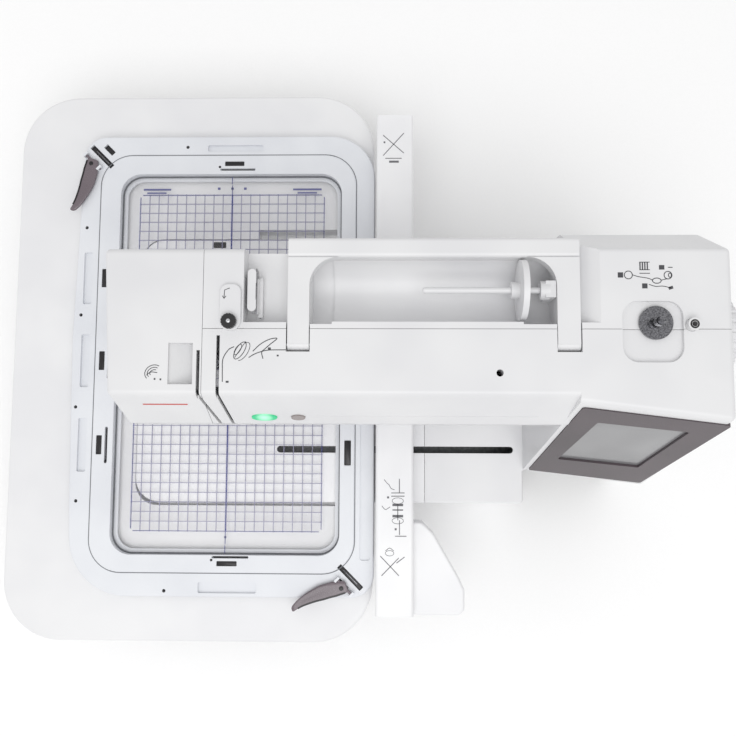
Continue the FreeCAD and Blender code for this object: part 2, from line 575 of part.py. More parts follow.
# ---------------------------------------------------------------- screen, buttons and electrics
bezel = panel_block(bezel_points, 3, -2.0, 1.0).cut(panel_block(window_points, 2, -5, 5))
save("screen_bezel", bezel)
glass_points = [(20.2, 29.2), (97.3, 25.7), (88.8, 135.3), (11.7, 139.8)]
save("screen_glass", panel_block(glass_points, 1.8, -3.4, -1.4))
module_points = [(14, 20), (103, 20), (95, 145), (6, 145)]
electronics = [panel_block(module_points, 2, -13.5, -6.2)]


def pushed_button(x, width, height):
    """Oval button cap with a stem behind it, square to the sloped face."""
    cap = sloped_oval(x, button_z, width, height, -3.4, 1.2)
    stem = sloped_oval(x, button_z, 4, 4, -9, -3.2)
    return join([cap, stem])


save("start_button", pushed_button(button_x, 22.0, 10.4))
save("cutter_button", pushed_button(cutter_x, 12.0, 8.4))
button_board = box(-28, 28, -8, 8, 0, 1.6)
board_turn = FreeCAD.Rotation(V(1, 0, 0), V(0, 1, 0), slope_out, "ZXY")
button_board.Placement = FreeCAD.Placement(on_slope(76, button_z, -13.5), board_turn)
electronics += [button_board, box(330, 376, -70, -16, 20, 58),
                join([box(325, 326.6, -62, 12, 118, 212), box(326.6, 330, -50, 0, 150, 190)])]
save("electronics", group(electronics))
inlet = (box(412, tower_right - 0.6, 20.2, 45.8, inlet_z + 0.2, inlet_z + 19.8).cut(
    box(424, 440, 24, 42, inlet_z + 4, inlet_z + 16)).fuse(
    [rod(415, y, inlet_z + 10, 1.2, 18, "x") for y in (29, 37)]))
switch_body = box(418, tower_right - 0.4, switch_y - 7.8, switch_y + 7.8, inlet_z + 0.2, inlet_z + 23.8)
switch_body = switch_body.cut(box(424, 440, switch_y - 6, switch_y + 6, inlet_z + 2, inlet_z + 22))
rocker_points = [(431, 49), (436.6, 38.6), (439.0, 39.5), (437.2, 48), (439.6, 56.5), (436.4, 57.4)]
rocker = outline(rocker_points, 0.4, endwise(switch_y - 5.6)).extrude(V(0, 11.2, 0))
save("power_switch", join([rocker, rod(432.5, switch_y - 5.9, inlet_z + 12, 1.2, 11.8, "y")]))
usb = box(420, tower_right - 0.6, -69.8, -55.2, 60.2, 66.8).cut(box(424, 440, -68.6, -56.4, 61.4, 65.6))
save("sockets", group([inlet, switch_body, join([usb, box(423, 434, -67, -58, 62, 63.6)])]))
lamp_points = [(-60, arm_base - 1.6), (-46, arm_base - 1.6), (-46, arm_base - 0.2), (-60, arm_base - 0.2)]
save("work_lamp", outline(lamp_points, 0, upright(50)).extrude(V(70, 0, 0)))

# ---------------------------------------------------------------- arm top: guides, spool, winder, handle
block_points = [(28.5, 4.5), (46.5, 4.5), (46.5, 44), (28.5, 44)]
guide_block = outline(block_points, [8.8, 8.8, 7, 7], level(arm_top + 0.1)).extrude(V(0, 0, 3.4))
guide_block = fillet(guide_block, 1.2, lambda edge, m: m.z > arm_top + 3.3)
guide_block = guide_block.cut(rod(37, 12, 295, 3.2, 12))
dial = join([rod(37, 12, 303.7, 6.4, 4.2), rod(37, 12, 288, 3.0, 16)])
for step in range(16):
    angle = 2 * math.pi * step / 16
    dial = dial.cut(rod(37 + 6.7 * math.cos(angle), 12 + 6.7 * math.sin(angle), 303, 0.7, 6))
save("tension_dial", dial)
guide_plate = join([box(58, 62, 18, 52, 279.2, 286), box(58, 59.2, 20, 50, 286, 292),
                    plate(50.5, 57.8, 22, 58, 279.2, 296, 3.5)])
save("thread_guides", group([guide_block, guide_plate]))

pin_y, pin_z = trough_y, trough_z
spool_pin = join([rod(200, pin_y, pin_z, 2.6, 102, "x"), Part.makeSphere(2.6, V(200, pin_y, pin_z)),
                  rod(296, pin_y, pin_z, 8, 8, "x"), box(300, 308.6, pin_y - 7, pin_y + 7, 272, 298)])
save("spool_pin", spool_pin)
disc = join([rod(279, pin_y, pin_z, 25.6, 2.6, "x"), rod(272, pin_y, pin_z, 7, 9, "x"),
             tube(281, pin_y, pin_z, 25.6, 23.2, 3, "x")])
save("spool_holder", disc.cut(rod(270, pin_y, pin_z, 2.66, 20, "x")))

seat = join([rod(winder_x, winder_y, winder_floor + 1.0, 14, 2.2), rod(winder_x, winder_y, 277, 3.0, 39),
             rod(winder_x, winder_y, winder_floor + 3, 5.2, 2.4)])
seat = join([seat, Part.makeCone(3.0, 2.0, 2.5, V(winder_x, winder_y, 316)),
             rod(winder_x, winder_y, 277.6, 11, 5)])
save("winder_spindle", seat)
winder_arm = plate(winder_x - 12, winder_x + 8, winder_y - 9, winder_y + 9, 283.5, 287.5, 6)
save("winder_arm", winder_arm.cut(rod(winder_x, winder_y, 280, 3.0 + running, 10)))
stopper = join([rod(stopper_x, stopper_y, 290, 5.2, 17), rod(stopper_x, stopper_y, 287, 7.5, 5)])
save("winder_stopper", stopper.cut(rod(stopper_x, stopper_y, 300, 2.2, 8)))

handle_outline = outline([(85.0, -11), (103.0, -11), (103.0, 67.2), (309.0, 67.2), (309.0, -11),
                          (328.0, -11), (328.0, 84), (85.0, 84)],
                         [0, 0, 24, 24, 0, 0, 5, 5], level(289.0))
handle = handle_outline.extrude(V(0, 0, 10.8))
bar = outline([(67.2, 285), (84, 285), (84, 299.8), (67.2, 299.8)], 3.5, upright(85.0)).extrude(V(243, 0, 0))
handle = join([handle.cut(box(80, 335, 67.2, 90, 280, 305)), bar])
for x0, x1 in ((85.0, 103.0), (309.0, 328.0)):
    end = box(x0 - 1, x1 + 1, -12, handle_y, 285, 305).cut(rod(x0 - 1, handle_y, handle_z, 5, x1 - x0 + 2, "x"))
    handle = handle.cut([end, rod(x0 - 1, handle_y, handle_z, 2.05, x1 - x0 + 2, "x")])
handle = handle.cut(plate(122, 290, 69, 81.5, 283, 287.5, 4))
save("carrying_handle", handle)
save("pivot_pins", group(pivot_pins + handle_pins))

# ---------------------------------------------------------------- embroidery unit
beam_profile = [(beam_left, beam_base), (beam_right, beam_base),
                (beam_right, beam_top), (beam_left, beam_top)]
beam_outer = outline(beam_profile, [1, 1, 3, 3], endwise(beam_front))
beam_outer = beam_outer.extrude(V(0, beam_back - beam_front, 0))
wing_points = [(193, -166.5), (204, -167), (215.5, -178), (240.5, -221), (246.5, -234), (246.5, -254),
               (241, -259), (193, -259)]
wing_radii = [0, 8, 16, 24, 8, 4, 3, 0]
wing_base, wing_top = beam_base, 137.0
wing_outer = outline(wing_points, wing_radii, level(wing_base)).extrude(V(0, 0, wing_top - wing_base))
wing_outer = fillet(wing_outer, 2.5, lambda edge, m: on_plane(m.z, wing_top) and m.x > beam_right)
wing_inner = outline([(190, -169), (203, -169.6), (213, -179.5), (238, -222.5), (243.7, -235), (243.7, -253),
                      (240, -256.2), (190, -256.2)], [0, 6, 12, 20, 6, 3, 2, 0], level(wing_base + 2))
beam_inner = box(beam_left + 2.4, beam_right - 2.4, beam_front + 2.4, beam_back - 2.4,
                 beam_base + 2, beam_top - 2.4)
carriage_slot = box(beam_left - 1, beam_left + 3, -204, 204, 111.4, 121.4)
beam_shell = join([beam_outer, wing_outer]).cut(
    [join([beam_inner, wing_inner.extrude(V(0, 0, wing_top - wing_base - 4.4))]), carriage_slot])
save("beam_cover", beam_shell)
y_rails = [(168.0, 139.0), (186.0, 139.0)]
y_drive = [rod(x, beam_front + 2.4, z, 3, beam_back - beam_front - 4.8, "y") for x, z in y_rails]
y_drive.append(join([box(200, 228, -250, -222, 112, 126), rod(214, -236, 126, 5, 7)]))
y_drive.append(plate(190.2, 192.2, -240, 240, 120, 126, 0.5))
save("y_drive", group(y_drive))
x_rail_rods = [rod(14, y, z, 3, 310, "x") for y, z in rail_places]
x_stem = box(166, 186, beam_slot_y - 2.6, beam_slot_y + 2.6, 80, beam_base)
x_block = box(158, 194, -113, -76, 76, 88)
x_carriage = join([x_block, x_stem]).cut([rod(150, y, z, 3 + running, 60, "x") for y, z in rail_places])
save("x_carriage", x_carriage)
loop_outer = plate(4, 352, beam_slot_y - 7, beam_slot_y + 7, 90, 96, 6.9)
loop_inner = plate(5.2, 350.8, beam_slot_y - 5.8, beam_slot_y + 5.8, 89, 97, 5.7)
save("drive_belts", group(belts + [loop_outer.cut(loop_inner)]))
x_motor = join([box(327, 363, -112, -76, 40, 78), rod(345, beam_slot_y, 78, 2.5, 10),
                rod(345, beam_slot_y, 88, 5.3, 10)])
save("motors", group([motor, x_motor]))
x_idler = join([rod(11, beam_slot_y, 18, 2.5, 72), rod(11, beam_slot_y, 88, 5.3, 9)])
save("x_rails", group(x_rail_rods + [x_idler]))

# Hoop carriage inside the beam, with a flat tongue that reaches into the hoop's right side
carriage = box(160, 189.8, -20, 20, 128, 146).fuse(box(160, 178, -20, 20, 112, 129))
carriage = join([carriage, box(147, 162, -15, 15, 112, 118)])
save("hoop_carriage", carriage.cut([rod(x, -25, z, 3 + running, 50, "y") for x, z in y_rails]))

# Outer ring, inner ring and clear template
ring_outer_points = [(-160, 243), (-166.5, 20), (-163.5, -160), (-160, -246), (155.2, -246), (155.2, 243)]
ring_outer_radii = [24, 200, 200, 62, 24, 48]
outer_face = outline(ring_outer_points, ring_outer_radii, level(ring_base))
outer_ring = outer_face.extrude(V(0, 0, ring_top - ring_base))
outer_ring = fillet(outer_ring, 2.0, lambda edge, m: on_plane(m.z, ring_top))
split_left, split_right, split_half_y = -141.2, 135.4, 222.0
outer_ring = outer_ring.cut(plate(split_left, split_right, -split_half_y, split_half_y, 100, 130, 34))
notch_pitch = 88.7
ring_cuts = []
for step in (-1, 0, 1):
    middle = -2 + notch_pitch * step
    ring_cuts.append(plate(-156.5, -147.5, middle - 28, middle + 28, ring_top - 3.2, ring_top + 2, 1.5))
for y0, y1 in ((217 + 9, 217 + 16), (-242, -231)):
    ring_cuts.append(plate(-26, 34, y0, y1, ring_top - 2.6, ring_top + 2, 1.5))
ring_cuts.append(plate(140.5, 151.5, -208, -66, ring_top - 1.6, ring_top + 2, 3))
ring_cuts.append(box(144.5, 156, -15.5, 15.5, 111.5, 118.5))
screw_dots = [(-48, 231), (-155, 142), (-158, 47), (-160, -51), (-156, -149), (-61, -240)]
ring_cuts += [rod(x, y, ring_top - 3, 1.8, 5) for x, y in screw_dots]
clamps = [(-141.0, 220.5, 135.0), (131.0, -225.0, -45.0)]


def clamp_block(x, y, angle, z0, z1, length, width, offset):
    """Block along the corner's diagonal, `offset` to one side of it."""
    shape = box(-length / 2, length / 2, -width / 2 + offset, width / 2 + offset, z0, z1)
    shape.rotate(V(0, 0, 0), V(0, 0, 1), angle)
    shape.translate(V(x, y, 0))
    return shape


for x, y, angle in clamps:
    ring_cuts.append(clamp_block(x, y, angle, 112, 126, 33, 5.5, 0))
    ring_cuts.append(clamp_block(x, y, angle, 116, 126, 13, 5.5, -11))
lever_z = ring_top + 3.8
lever_lines = [("rear_clamp_lever", (-150.0, 214.0), (-169.0, 158.5), -45.0),
               ("front_clamp_lever", (125.0, -234.0), (73.0, -254.5), 135.0)]


def along_pin(root, angle, radius, start, end):
    """Round bar on a clamp lever's pin line, between two distances from its middle."""
    turned = math.radians(angle)
    direction = V(math.cos(turned), math.sin(turned), 0)
    return Part.makeCylinder(radius, end - start, V(*root, lever_z) + direction * start, direction)


ears = []
for name, root, tip, pin_angle in lever_lines:
    ear = box(9.4, 11.8, -3, 3, ring_top - 1, lever_z + 3)
    for turn in (pin_angle, pin_angle + 180):
        placed = ear.copy()
        placed.rotate(V(0, 0, 0), V(0, 0, 1), turn)
        placed.translate(V(*root, 0))
        ears.append(placed)
outer_ring = join([outer_ring.cut(ring_cuts)] + ears)
save("hoop_outer_ring", outer_ring.cut([along_pin(root, angle, 1.5 + running, -14, 14)
                                        for name, root, tip, angle in lever_lines]))

inner_face_points = [(split_left + 0.4, -split_half_y + 0.4), (split_right - 0.4, -split_half_y + 0.4),
                     (split_right - 0.4, split_half_y - 0.4), (split_left + 0.4, split_half_y - 0.4)]
inner_ring = outline(inner_face_points, 33.6, level(ring_base + 0.6))
inner_ring = inner_ring.extrude(V(0, 0, ring_top - ring_base + 0.6))
inner_ring = fillet(inner_ring, 1.6, lambda edge, m: m.z > ring_top + 1)
inner_ring = inner_ring.cut([plate(-119, 119.5, -203.5, 200.5, template_base, 130, 22),
                             plate(-114, 114.5, -198.5, 195.5, 100, 130, 18)])
inner_cuts = []
for step in (-1, 0, 1):
    middle = -2 + notch_pitch * step
    inner_cuts.append(plate(-136.5, -130.5, middle - 10, middle + 10, ring_top - 5, ring_top + 3, 0.8))
    inner_cuts.append(plate(-127.5, -124.5, middle - 19, middle + 19, ring_top - 4, ring_top + 3, 1.4))
inner_cuts.append(plate(124, 131, -111, -85, ring_top - 5, ring_top + 3, 0.8))
for side in (1, -1):
    inner_cuts.append(plate(-7, 14, side * 212 - 2.6, side * 212 + 2.6, ring_top - 5, ring_top + 3, 0.8))
    inner_cuts.append(plate(-12, 26, side * 205.5 - 1.2, side * 205.5 + 1.2, ring_top - 3, ring_top + 3, 0.8))
clamp_reach = [clamp_block(x, y, angle, 112, 126, 33, 5.5, 0) for x, y, angle in clamps]
save("hoop_inner_ring", inner_ring.cut(inner_cuts + clamp_reach))

template = plate(-118.6, 119.1, -203.1, 200.1, template_base + 0.1, template_base + 1.6, 21.6)
template_rim = template.common(plate(-118.6, 119.1, -203.1, 200.1, 100, 130, 21.6).cut(
    plate(-110, 110, -194, 191, 100, 130, 14)))
template_rim.translate(V(0, 0, 1.2))
holes = [rod(sx * field_x, sy * field_y, 105, 2.4, 15) for sx in (-1, 1) for sy in (-1, 1)]
template = join([template, template_rim]).cut(holes + [rod(0, 0, 105, 2.4, 15)])
save("grid_template", template)

# Corner clamps: an over-centre lever at each, on a pin held by two ears of the outer ring
lever_points = [(0, -4.8), (12, -7.1), (26, -7.3), (57, -2.2), (57, 2.2), (26, 7.3), (12, 7.1), (0, 4.8)]
lever_radii = [3, 8, 16, 1.9, 1.9, 16, 8, 3]
for name, root, tip, pin_angle in lever_lines:
    lever = outline(lever_points, lever_radii, level(lever_z - 2.2)).extrude(V(0, 0, 4.4))
    lever = fillet(lever, 1.2, lambda edge, m: m.z > lever_z + 2.1)
    heading = math.degrees(math.atan2(tip[1] - root[1], tip[0] - root[0]))
    lever.rotate(V(0, 0, 0), V(0, 0, 1), heading)
    lever.translate(V(*root, 0))
    save(name, join([lever, along_pin(root, pin_angle, 1.5, -12, 12)]))

# ---------------------------------------------------------------- extension table
table_left, table_right, table_half = -236.0, 154.0, 294.5
table_radius = 62.0
cut_left, cut_front, cut_back = -98.8, -154.0, 133.2
table_face = outline([(table_left, -table_half), (table_right, -table_half), (table_right, table_half),
                      (table_left, table_half)], table_radius, level(table_height - 24))
table_outer = table_face.extrude(V(0, 0, 24))
table_outer = fillet(table_outer, 3.0, lambda edge, m: on_plane(m.z, table_height))
table_hollow = inset(table_face, 3.0).extrude(V(0, 0, 21))
mouth = join([plate(cut_left, table_right + 80, cut_front, cut_back, 60, 120, 24),
              box(28, 240, 100, 143.5, 60, 120)])
rim = join([plate(cut_left - 3, table_right + 80, cut_front - 3, cut_back + 3, 60, table_height - 1, 27),
            box(25, 240, 100, 146.5, 60, table_height - 1)])
table_top = table_outer.cut(table_hollow.cut(rim)).cut(mouth)
save("table_top", table_top)
leg_places = [(-192, -244), (-192, 244), (100, -252), (100, 252), (-168, 0)]
legs = [join([plate(x - 13, x + 13, y - 13, y + 13, 4, table_height - 3, 6),
              plate(x - 12, x + 12, y - 12, y + 12, 0, 4, 5)]) for x, y in leg_places]
save("table_legs", group(legs))

# Black catch on the bed behind the head
save("table_catch", plate(-20.2, -6.8, 122.8, 128.9, 100, bed_top + 0.5, 0.8))

# Screws that hold the needle plate and the bottom plate
screws += [join([rod(x, y, 1.6, 3.6, 1.4), rod(x, y, 2.9, 1.6, 9)]).cut(
    box(x - 3, x + 3, y - 0.5, y + 0.5, 1.5, 2.1)) for x, y in screw_places]
save("screws", group(screws))
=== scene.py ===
import bmesh
import bpy
import numpy as np
from mathutils import Matrix, Vector


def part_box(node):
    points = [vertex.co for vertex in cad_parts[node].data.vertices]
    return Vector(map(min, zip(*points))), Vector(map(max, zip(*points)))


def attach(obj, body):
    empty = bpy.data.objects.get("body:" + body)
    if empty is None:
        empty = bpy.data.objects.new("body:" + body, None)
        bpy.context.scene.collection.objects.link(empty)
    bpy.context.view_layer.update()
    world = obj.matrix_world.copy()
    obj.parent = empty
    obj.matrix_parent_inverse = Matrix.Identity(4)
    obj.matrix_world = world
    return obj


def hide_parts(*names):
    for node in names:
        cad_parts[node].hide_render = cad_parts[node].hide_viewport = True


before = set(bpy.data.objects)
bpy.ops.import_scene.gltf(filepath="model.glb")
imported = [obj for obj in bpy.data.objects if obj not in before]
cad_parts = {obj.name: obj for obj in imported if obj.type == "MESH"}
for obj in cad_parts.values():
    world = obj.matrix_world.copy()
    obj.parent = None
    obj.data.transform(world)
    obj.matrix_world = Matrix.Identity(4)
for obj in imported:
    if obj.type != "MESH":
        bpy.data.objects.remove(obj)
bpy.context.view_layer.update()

# ---------------------------------------------------------------- chassis, shafts and bushes
# The frame inside is one aluminium pressure die casting, left as cast: grey, slightly mottled.
# Ground steel shafts run in sintered bronze bushes pressed into its walls.


def linear(code):
    """sRGB hex as linear colour: c / 12.92 up to 0.04045, above it ((c + 0.055) / 1.055) ^ 2.4."""
    c = np.array([int(code[i:i + 2], 16) for i in (1, 3, 5)]) / 255
    return (*np.where(c <= 0.04045, c / 12.92, ((c + 0.055) / 1.055) ** 2.4), 1.0)


def add(material, kind, values=None, links=None, **settings):
    """Add one node with its settings, its input values and the sockets linked into it."""
    node = material.node_tree.nodes.new(kind)
    for name, value in settings.items():
        setattr(node, name, value)
    for name, value in (values or {}).items():
        node.inputs[name].default_value = value
    for name, socket in (links or {}).items():
        material.node_tree.links.new(socket, node.inputs[name])
    return node


def begin(name):
    """Empty material, and the object's own coordinates in metres."""
    material = bpy.data.materials.new(name)
    material.use_nodes = True
    material.node_tree.nodes.clear()
    return material, add(material, "ShaderNodeTexCoord").outputs["Object"]


def metal(name, light, dark, roughness, marks, depth):
    """Bare metal whose tool marks are noise stretched to `marks` per metre along x, y and z."""
    material, place = begin(name)
    spread = add(material, "ShaderNodeMapping", {"Scale": marks}, {"Vector": place})
    noise = add(material, "ShaderNodeTexNoise", {"Scale": 1.0, "Detail": 3.0, "Roughness": 0.55},
                {"Vector": spread.outputs[0]})
    colour = add(material, "ShaderNodeValToRGB", None, {"Fac": noise.outputs[0]})
    colour.color_ramp.elements[0].position, colour.color_ramp.elements[0].color = 0.3, linear(dark)
    colour.color_ramp.elements[1].position, colour.color_ramp.elements[1].color = 0.7, linear(light)
    shine = add(material, "ShaderNodeMapRange",
                {"To Min": roughness * 0.75, "To Max": roughness * 1.3}, {"Value": noise.outputs[0]})
    bump = add(material, "ShaderNodeBump", {"Strength": 0.5, "Distance": depth / 1000},
               {"Height": noise.outputs[0]})
    shader = add(material, "ShaderNodeBsdfPrincipled", {"Metallic": 1.0},
                 {"Base Color": colour.outputs[0], "Roughness": shine.outputs[0],
                  "Normal": bump.outputs[0]})
    add(material, "ShaderNodeOutputMaterial", None, {"Surface": shader.outputs[0]})
    return material


def finish(material, *nodes):
    """Give this finish to every slot of the CAD nodes named."""
    for name in nodes:
        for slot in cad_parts[name].material_slots:
            slot.material = material


# Die-cast aluminium, as cast: flow marks a few millimetres wide and a dull sheen.
cast = metal("die_cast_aluminium", "#b4b6b8", "#8f9193", 0.48, (260, 260, 260), 0.08)
finish(cast, "chassis", "x_carriage")
# Ground steel: fine rings left by the wheel, far finer than shown, drawn 0.6 mm apart.
ground = metal("ground_steel", "#d3d4d6", "#a5a7aa", 0.24, (1600, 1600, 60), 0.01)
finish(ground, "upper_shaft", "lower_shaft", "motor_pulley", "needle_bar", "needle_bar_yoke",
       "needle_clamp", "presser_bar", "embroidery_foot", "rotary_hook", "x_rails", "y_drive",
       "winder_arm", "pivot_pins", "screws")
# Oil-filled sintered bronze: brown-gold with fine pores.
bronze = metal("sintered_bronze", "#b58a55", "#8a6338", 0.42, (1400, 1400, 1400), 0.03)
finish(bronze, "shaft_bushes")
# Bright chrome plate over polished steel: nearly mirror, with faint polishing streaks.
chrome = metal("chrome_plate", "#e6e7e9", "#c2c4c8", 0.10, (300, 2200, 300), 0.004)
finish(chrome, "needle", "take_up_lever", "needle_plate")
# Black nickel plate: a smoky mirror, turned in rings that are drawn 1 mm apart.
smoky = metal("black_nickel_plate", "#9a9a9e", "#4c4c50", 0.22, (900, 900, 200), 0.01)
finish(smoky, "winder_spindle")


# ---------------------------------------------------------------- motors, belts and electronics
# Two black-enamelled motors with neoprene belts, and green printed boards.
# The bottom plate is pressed steel with grey powder paint, standing on six rubber feet.
def moulding(name, pale, deep, roughness, grain, depth, ior=1.54, coat=0.0, coat_roughness=0.1):
    """Moulded or painted skin: two tints drift together over 80 mm, with grain `grain` mm wide."""
    material, place = begin(name)
    slow = add(material, "ShaderNodeTexNoise", {"Scale": 12.0, "Detail": 2.0}, {"Vector": place})
    fine = add(material, "ShaderNodeTexNoise", {"Scale": 1000 / grain, "Detail": 2.0, "Roughness": 0.6},
               {"Vector": place})
    colour = add(material, "ShaderNodeValToRGB", None, {"Fac": slow.outputs[0]})
    colour.color_ramp.elements[0].position, colour.color_ramp.elements[0].color = 0.35, linear(deep)
    colour.color_ramp.elements[1].position, colour.color_ramp.elements[1].color = 0.65, linear(pale)
    shine = add(material, "ShaderNodeMapRange",
                {"To Min": roughness * 0.85, "To Max": roughness * 1.2}, {"Value": fine.outputs[0]})
    bump = add(material, "ShaderNodeBump", {"Strength": 0.35, "Distance": depth / 1000},
               {"Height": fine.outputs[0]})
    shader = add(material, "ShaderNodeBsdfPrincipled",
                 {"IOR": ior, "Coat Weight": coat, "Coat Roughness": coat_roughness},
                 {"Base Color": colour.outputs[0], "Roughness": shine.outputs[0],
                  "Normal": bump.outputs[0]})
    add(material, "ShaderNodeOutputMaterial", None, {"Surface": shader.outputs[0]})
    return material


# Stoved black enamel: slight orange peel about 2 mm wide under a hard gloss.
finish(moulding("black_stoved_enamel", "#26262a", "#1b1b1e", 0.28, 2.0, 0.03, 1.50, 0.4), "motors")
# Neoprene belt: matt black with a cloth-like grain from its mould.
finish(moulding("neoprene_belt", "#1d1d1d", "#141414", 0.75, 0.8, 0.05, 1.52), "drive_belts")
# Moulded rubber: dusty black, no shine.
finish(moulding("moulded_rubber", "#242424", "#191919", 0.82, 1.2, 0.06, 1.52), "rubber_feet")
# Grey powder paint: orange peel 1.5 mm wide, cured semi-matt.
finish(moulding("grey_powder_paint", "#b3b5b7", "#a3a5a8", 0.45, 1.5, 0.05, 1.50), "bottom_plate")

# Printed board: green solder resist over copper lands about 2 mm apart, under a clear gloss.
board, place = begin("solder_resist_board")
cells = add(board, "ShaderNodeTexVoronoi", {"Scale": 480.0, "Randomness": 0.4}, {"Vector": place},
            distance="CHEBYCHEV")
lands = add(board, "ShaderNodeMath", {1: 0.2}, {0: cells.outputs["Distance"]}, operation="LESS_THAN")
colour = add(board, "ShaderNodeMix", {6: linear("#14532f"), 7: linear("#b08a4c")},
             {0: lands.outputs[0]}, data_type="RGBA")
shader = add(board, "ShaderNodeBsdfPrincipled", {"Roughness": 0.35, "IOR": 1.50, "Coat Weight": 0.6},
             {"Base Color": colour.outputs[2]})
add(board, "ShaderNodeOutputMaterial", None, {"Surface": shader.outputs[0]})
finish(board, "electronics")

# ---------------------------------------------------------------- outer covers
# Front, rear and face covers, bed and base are white ABS injection mouldings with a fine
# spark-eroded grain, screwed to the casting from behind and below.
# ABS, spark-eroded mould: soft satin white; the 0.1 mm grain is drawn 0.9 mm wide to show at all.
white = moulding("white_abs_satin", "#e0e0e1", "#d9d9db", 0.36, 0.9, 0.012)
finish(white, "front_cover", "rear_cover", "face_cover", "hand_wheel", "hook_cover", "bobbin",
       "winder_stopper", "spool_pin", "spool_holder")
# The same ABS, made whiter on the bed as painted light that lifts the shade under the hoop and
# template, and slightly whiter on the base.
bed_white_lit = moulding("bed_abs_painted_light", "#f2f2f3", "#ececee", 0.34, 0.9, 0.012)
finish(bed_white_lit, "bed_cover")
base_white = moulding("base_abs_satin", "#e6e6e7", "#e0e0e2", 0.34, 0.9, 0.012)
finish(base_white, "base_cover")


def paint_inner_shade(material, node, margins):
    """Painted shade: near-black where the point is inside the cover's box, drawn in by the margins, in
    mm.
    """
    low, high = (np.array(corner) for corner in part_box(node))
    low, high = low + np.array(margins[:3]) / 1000, high - np.array(margins[3:]) / 1000
    place = add(material, "ShaderNodeTexCoord").outputs["Object"]
    offset = add(material, "ShaderNodeVectorMath", {1: tuple((low + high) / 2)}, {0: place},
                 operation="SUBTRACT")
    reach = add(material, "ShaderNodeVectorMath", None, {0: offset.outputs[0]}, operation="ABSOLUTE")
    beyond = add(material, "ShaderNodeVectorMath", {1: tuple((high - low) / 2)}, {0: reach.outputs[0]},
                 operation="SUBTRACT")
    parts = add(material, "ShaderNodeSeparateXYZ", None, {0: beyond.outputs[0]})
    most = add(material, "ShaderNodeMath", None, {0: parts.outputs[0], 1: parts.outputs[1]},
               operation="MAXIMUM")
    most = add(material, "ShaderNodeMath", None, {0: most.outputs[0], 1: parts.outputs[2]},
               operation="MAXIMUM")
    inner = add(material, "ShaderNodeMath", {1: 0.0}, {0: most.outputs[0]}, operation="LESS_THAN")
    shader = material.node_tree.nodes["Principled BSDF"]
    outer_colour = shader.inputs["Base Color"].links[0].from_socket
    # Near-black painted shade for every point inside the box.
    colour = add(material, "ShaderNodeMix", {7: linear("#17171a")},
                 {0: inner.outputs[0], 6: outer_colour}, data_type="RGBA")
    material.node_tree.links.new(colour.outputs[2], shader.inputs["Base Color"])


# Inside, both are painted near-black: painted shade standing for the dark within the covers. The base's
# set-back front face below the screen lies deeper than the margin, so it takes the painted shade too.
paint_inner_shade(bed_white_lit, "bed_cover", (12, 12, -1, -1, 12, 1.4))
paint_inner_shade(base_white, "base_cover", (-1, 14, -1, 14, 14, 1.4))
# Black ABS, moulded with a dull texture.
black = moulding("black_abs_matt", "#151416", "#0d0c0e", 0.5, 0.9, 0.008)
finish(black, "hoop_carriage", "hook_cover_release", "bobbin_holder", "sockets", "power_switch",
       "table_catch")

# The work lamp is a frosted acrylic strip over white diodes, glowing faintly.
lamp, place = begin("frosted_acrylic_lens")
dots = add(lamp, "ShaderNodeTexVoronoi", {"Scale": 90.0, "Randomness": 0.0}, {"Vector": place})
glow = add(lamp, "ShaderNodeMapRange", {"From Max": 0.6, "To Min": 1.2, "To Max": 0.5},
           {"Value": dots.outputs["Distance"]})
shader = add(lamp, "ShaderNodeBsdfPrincipled",
             {"Base Color": linear("#f4f4ee"), "Roughness": 0.5, "IOR": 1.49,
              "Emission Color": linear("#fffdf2")},
             {"Emission Strength": glow.outputs[0]})
add(lamp, "ShaderNodeOutputMaterial", None, {"Surface": shader.outputs[0]})
finish(lamp, "work_lamp")

# ---------------------------------------------------------------- printed signs
# Threading and bobbin signs are pad printed in grey-black ink on the finished covers, a film
# so thin that only its edge shows. All are plain shapes: arrows, rings, crosses and bars.
low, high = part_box("needle")
needle = np.array([(low.x + high.x) / 2, (low.y + high.y) / 2, 0.0])
arm_top, slope_top_y, slope_low_y, slope_low_z = 300.0, -48.0, -71.0, 250.0
ink_film = 0.12


def at(points):
    """Millimetres from the needle, heights from the ground, as metres in the frame."""
    return np.asarray(points, float) / 1000 + needle


def piece(name, grids, material, body, loop=False):
    """Mesh from grids of points: columns close round, rows are capped or, in a loop, close too."""
    points, faces, start = [], [], 0
    for grid in grids:
        rows, columns = grid.shape[:2]
        index = start + np.arange(rows * columns).reshape(rows, columns)
        start += rows * columns
        points.append(grid.reshape(-1, 3))
        if loop:
            index = np.vstack([index, index[:1]])
        else:
            faces += [index[0][::-1].tolist(), index[-1].tolist()]
        beside = np.roll(index, -1, axis=1)
        quads = np.stack([index[:-1], beside[:-1], beside[1:], index[1:]], -1)
        faces += quads.reshape(-1, 4).tolist()
    mesh = bpy.data.meshes.new(name)
    mesh.from_pydata(at(np.vstack(points)).tolist(), [], faces)
    shell = bmesh.new()
    shell.from_mesh(mesh)
    bmesh.ops.recalc_face_normals(shell, faces=shell.faces)
    shell.to_mesh(mesh)
    shell.free()
    mesh.shade_smooth()
    mesh.set_sharp_from_angle(angle=0.7)
    mesh.materials.append(material)
    made = bpy.data.objects.new(name, mesh)
    bpy.context.scene.collection.objects.link(made)
    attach(made, body)
    return made


def carried(path, section, up):
    """Section points (side, height) carried along a path; side is up crossed with the heading."""
    path = np.asarray(path, float)
    heading = np.gradient(path, axis=0)
    heading /= np.linalg.norm(heading, axis=1)[:, None]
    side = np.cross(np.asarray(up, float), heading)
    side /= np.linalg.norm(side, axis=1)[:, None]
    lift = np.cross(heading, side)
    section = np.asarray(section, float)
    return (path[:, None] + side[:, None] * section[None, :, :1]
            + lift[:, None] * section[None, :, 1:])


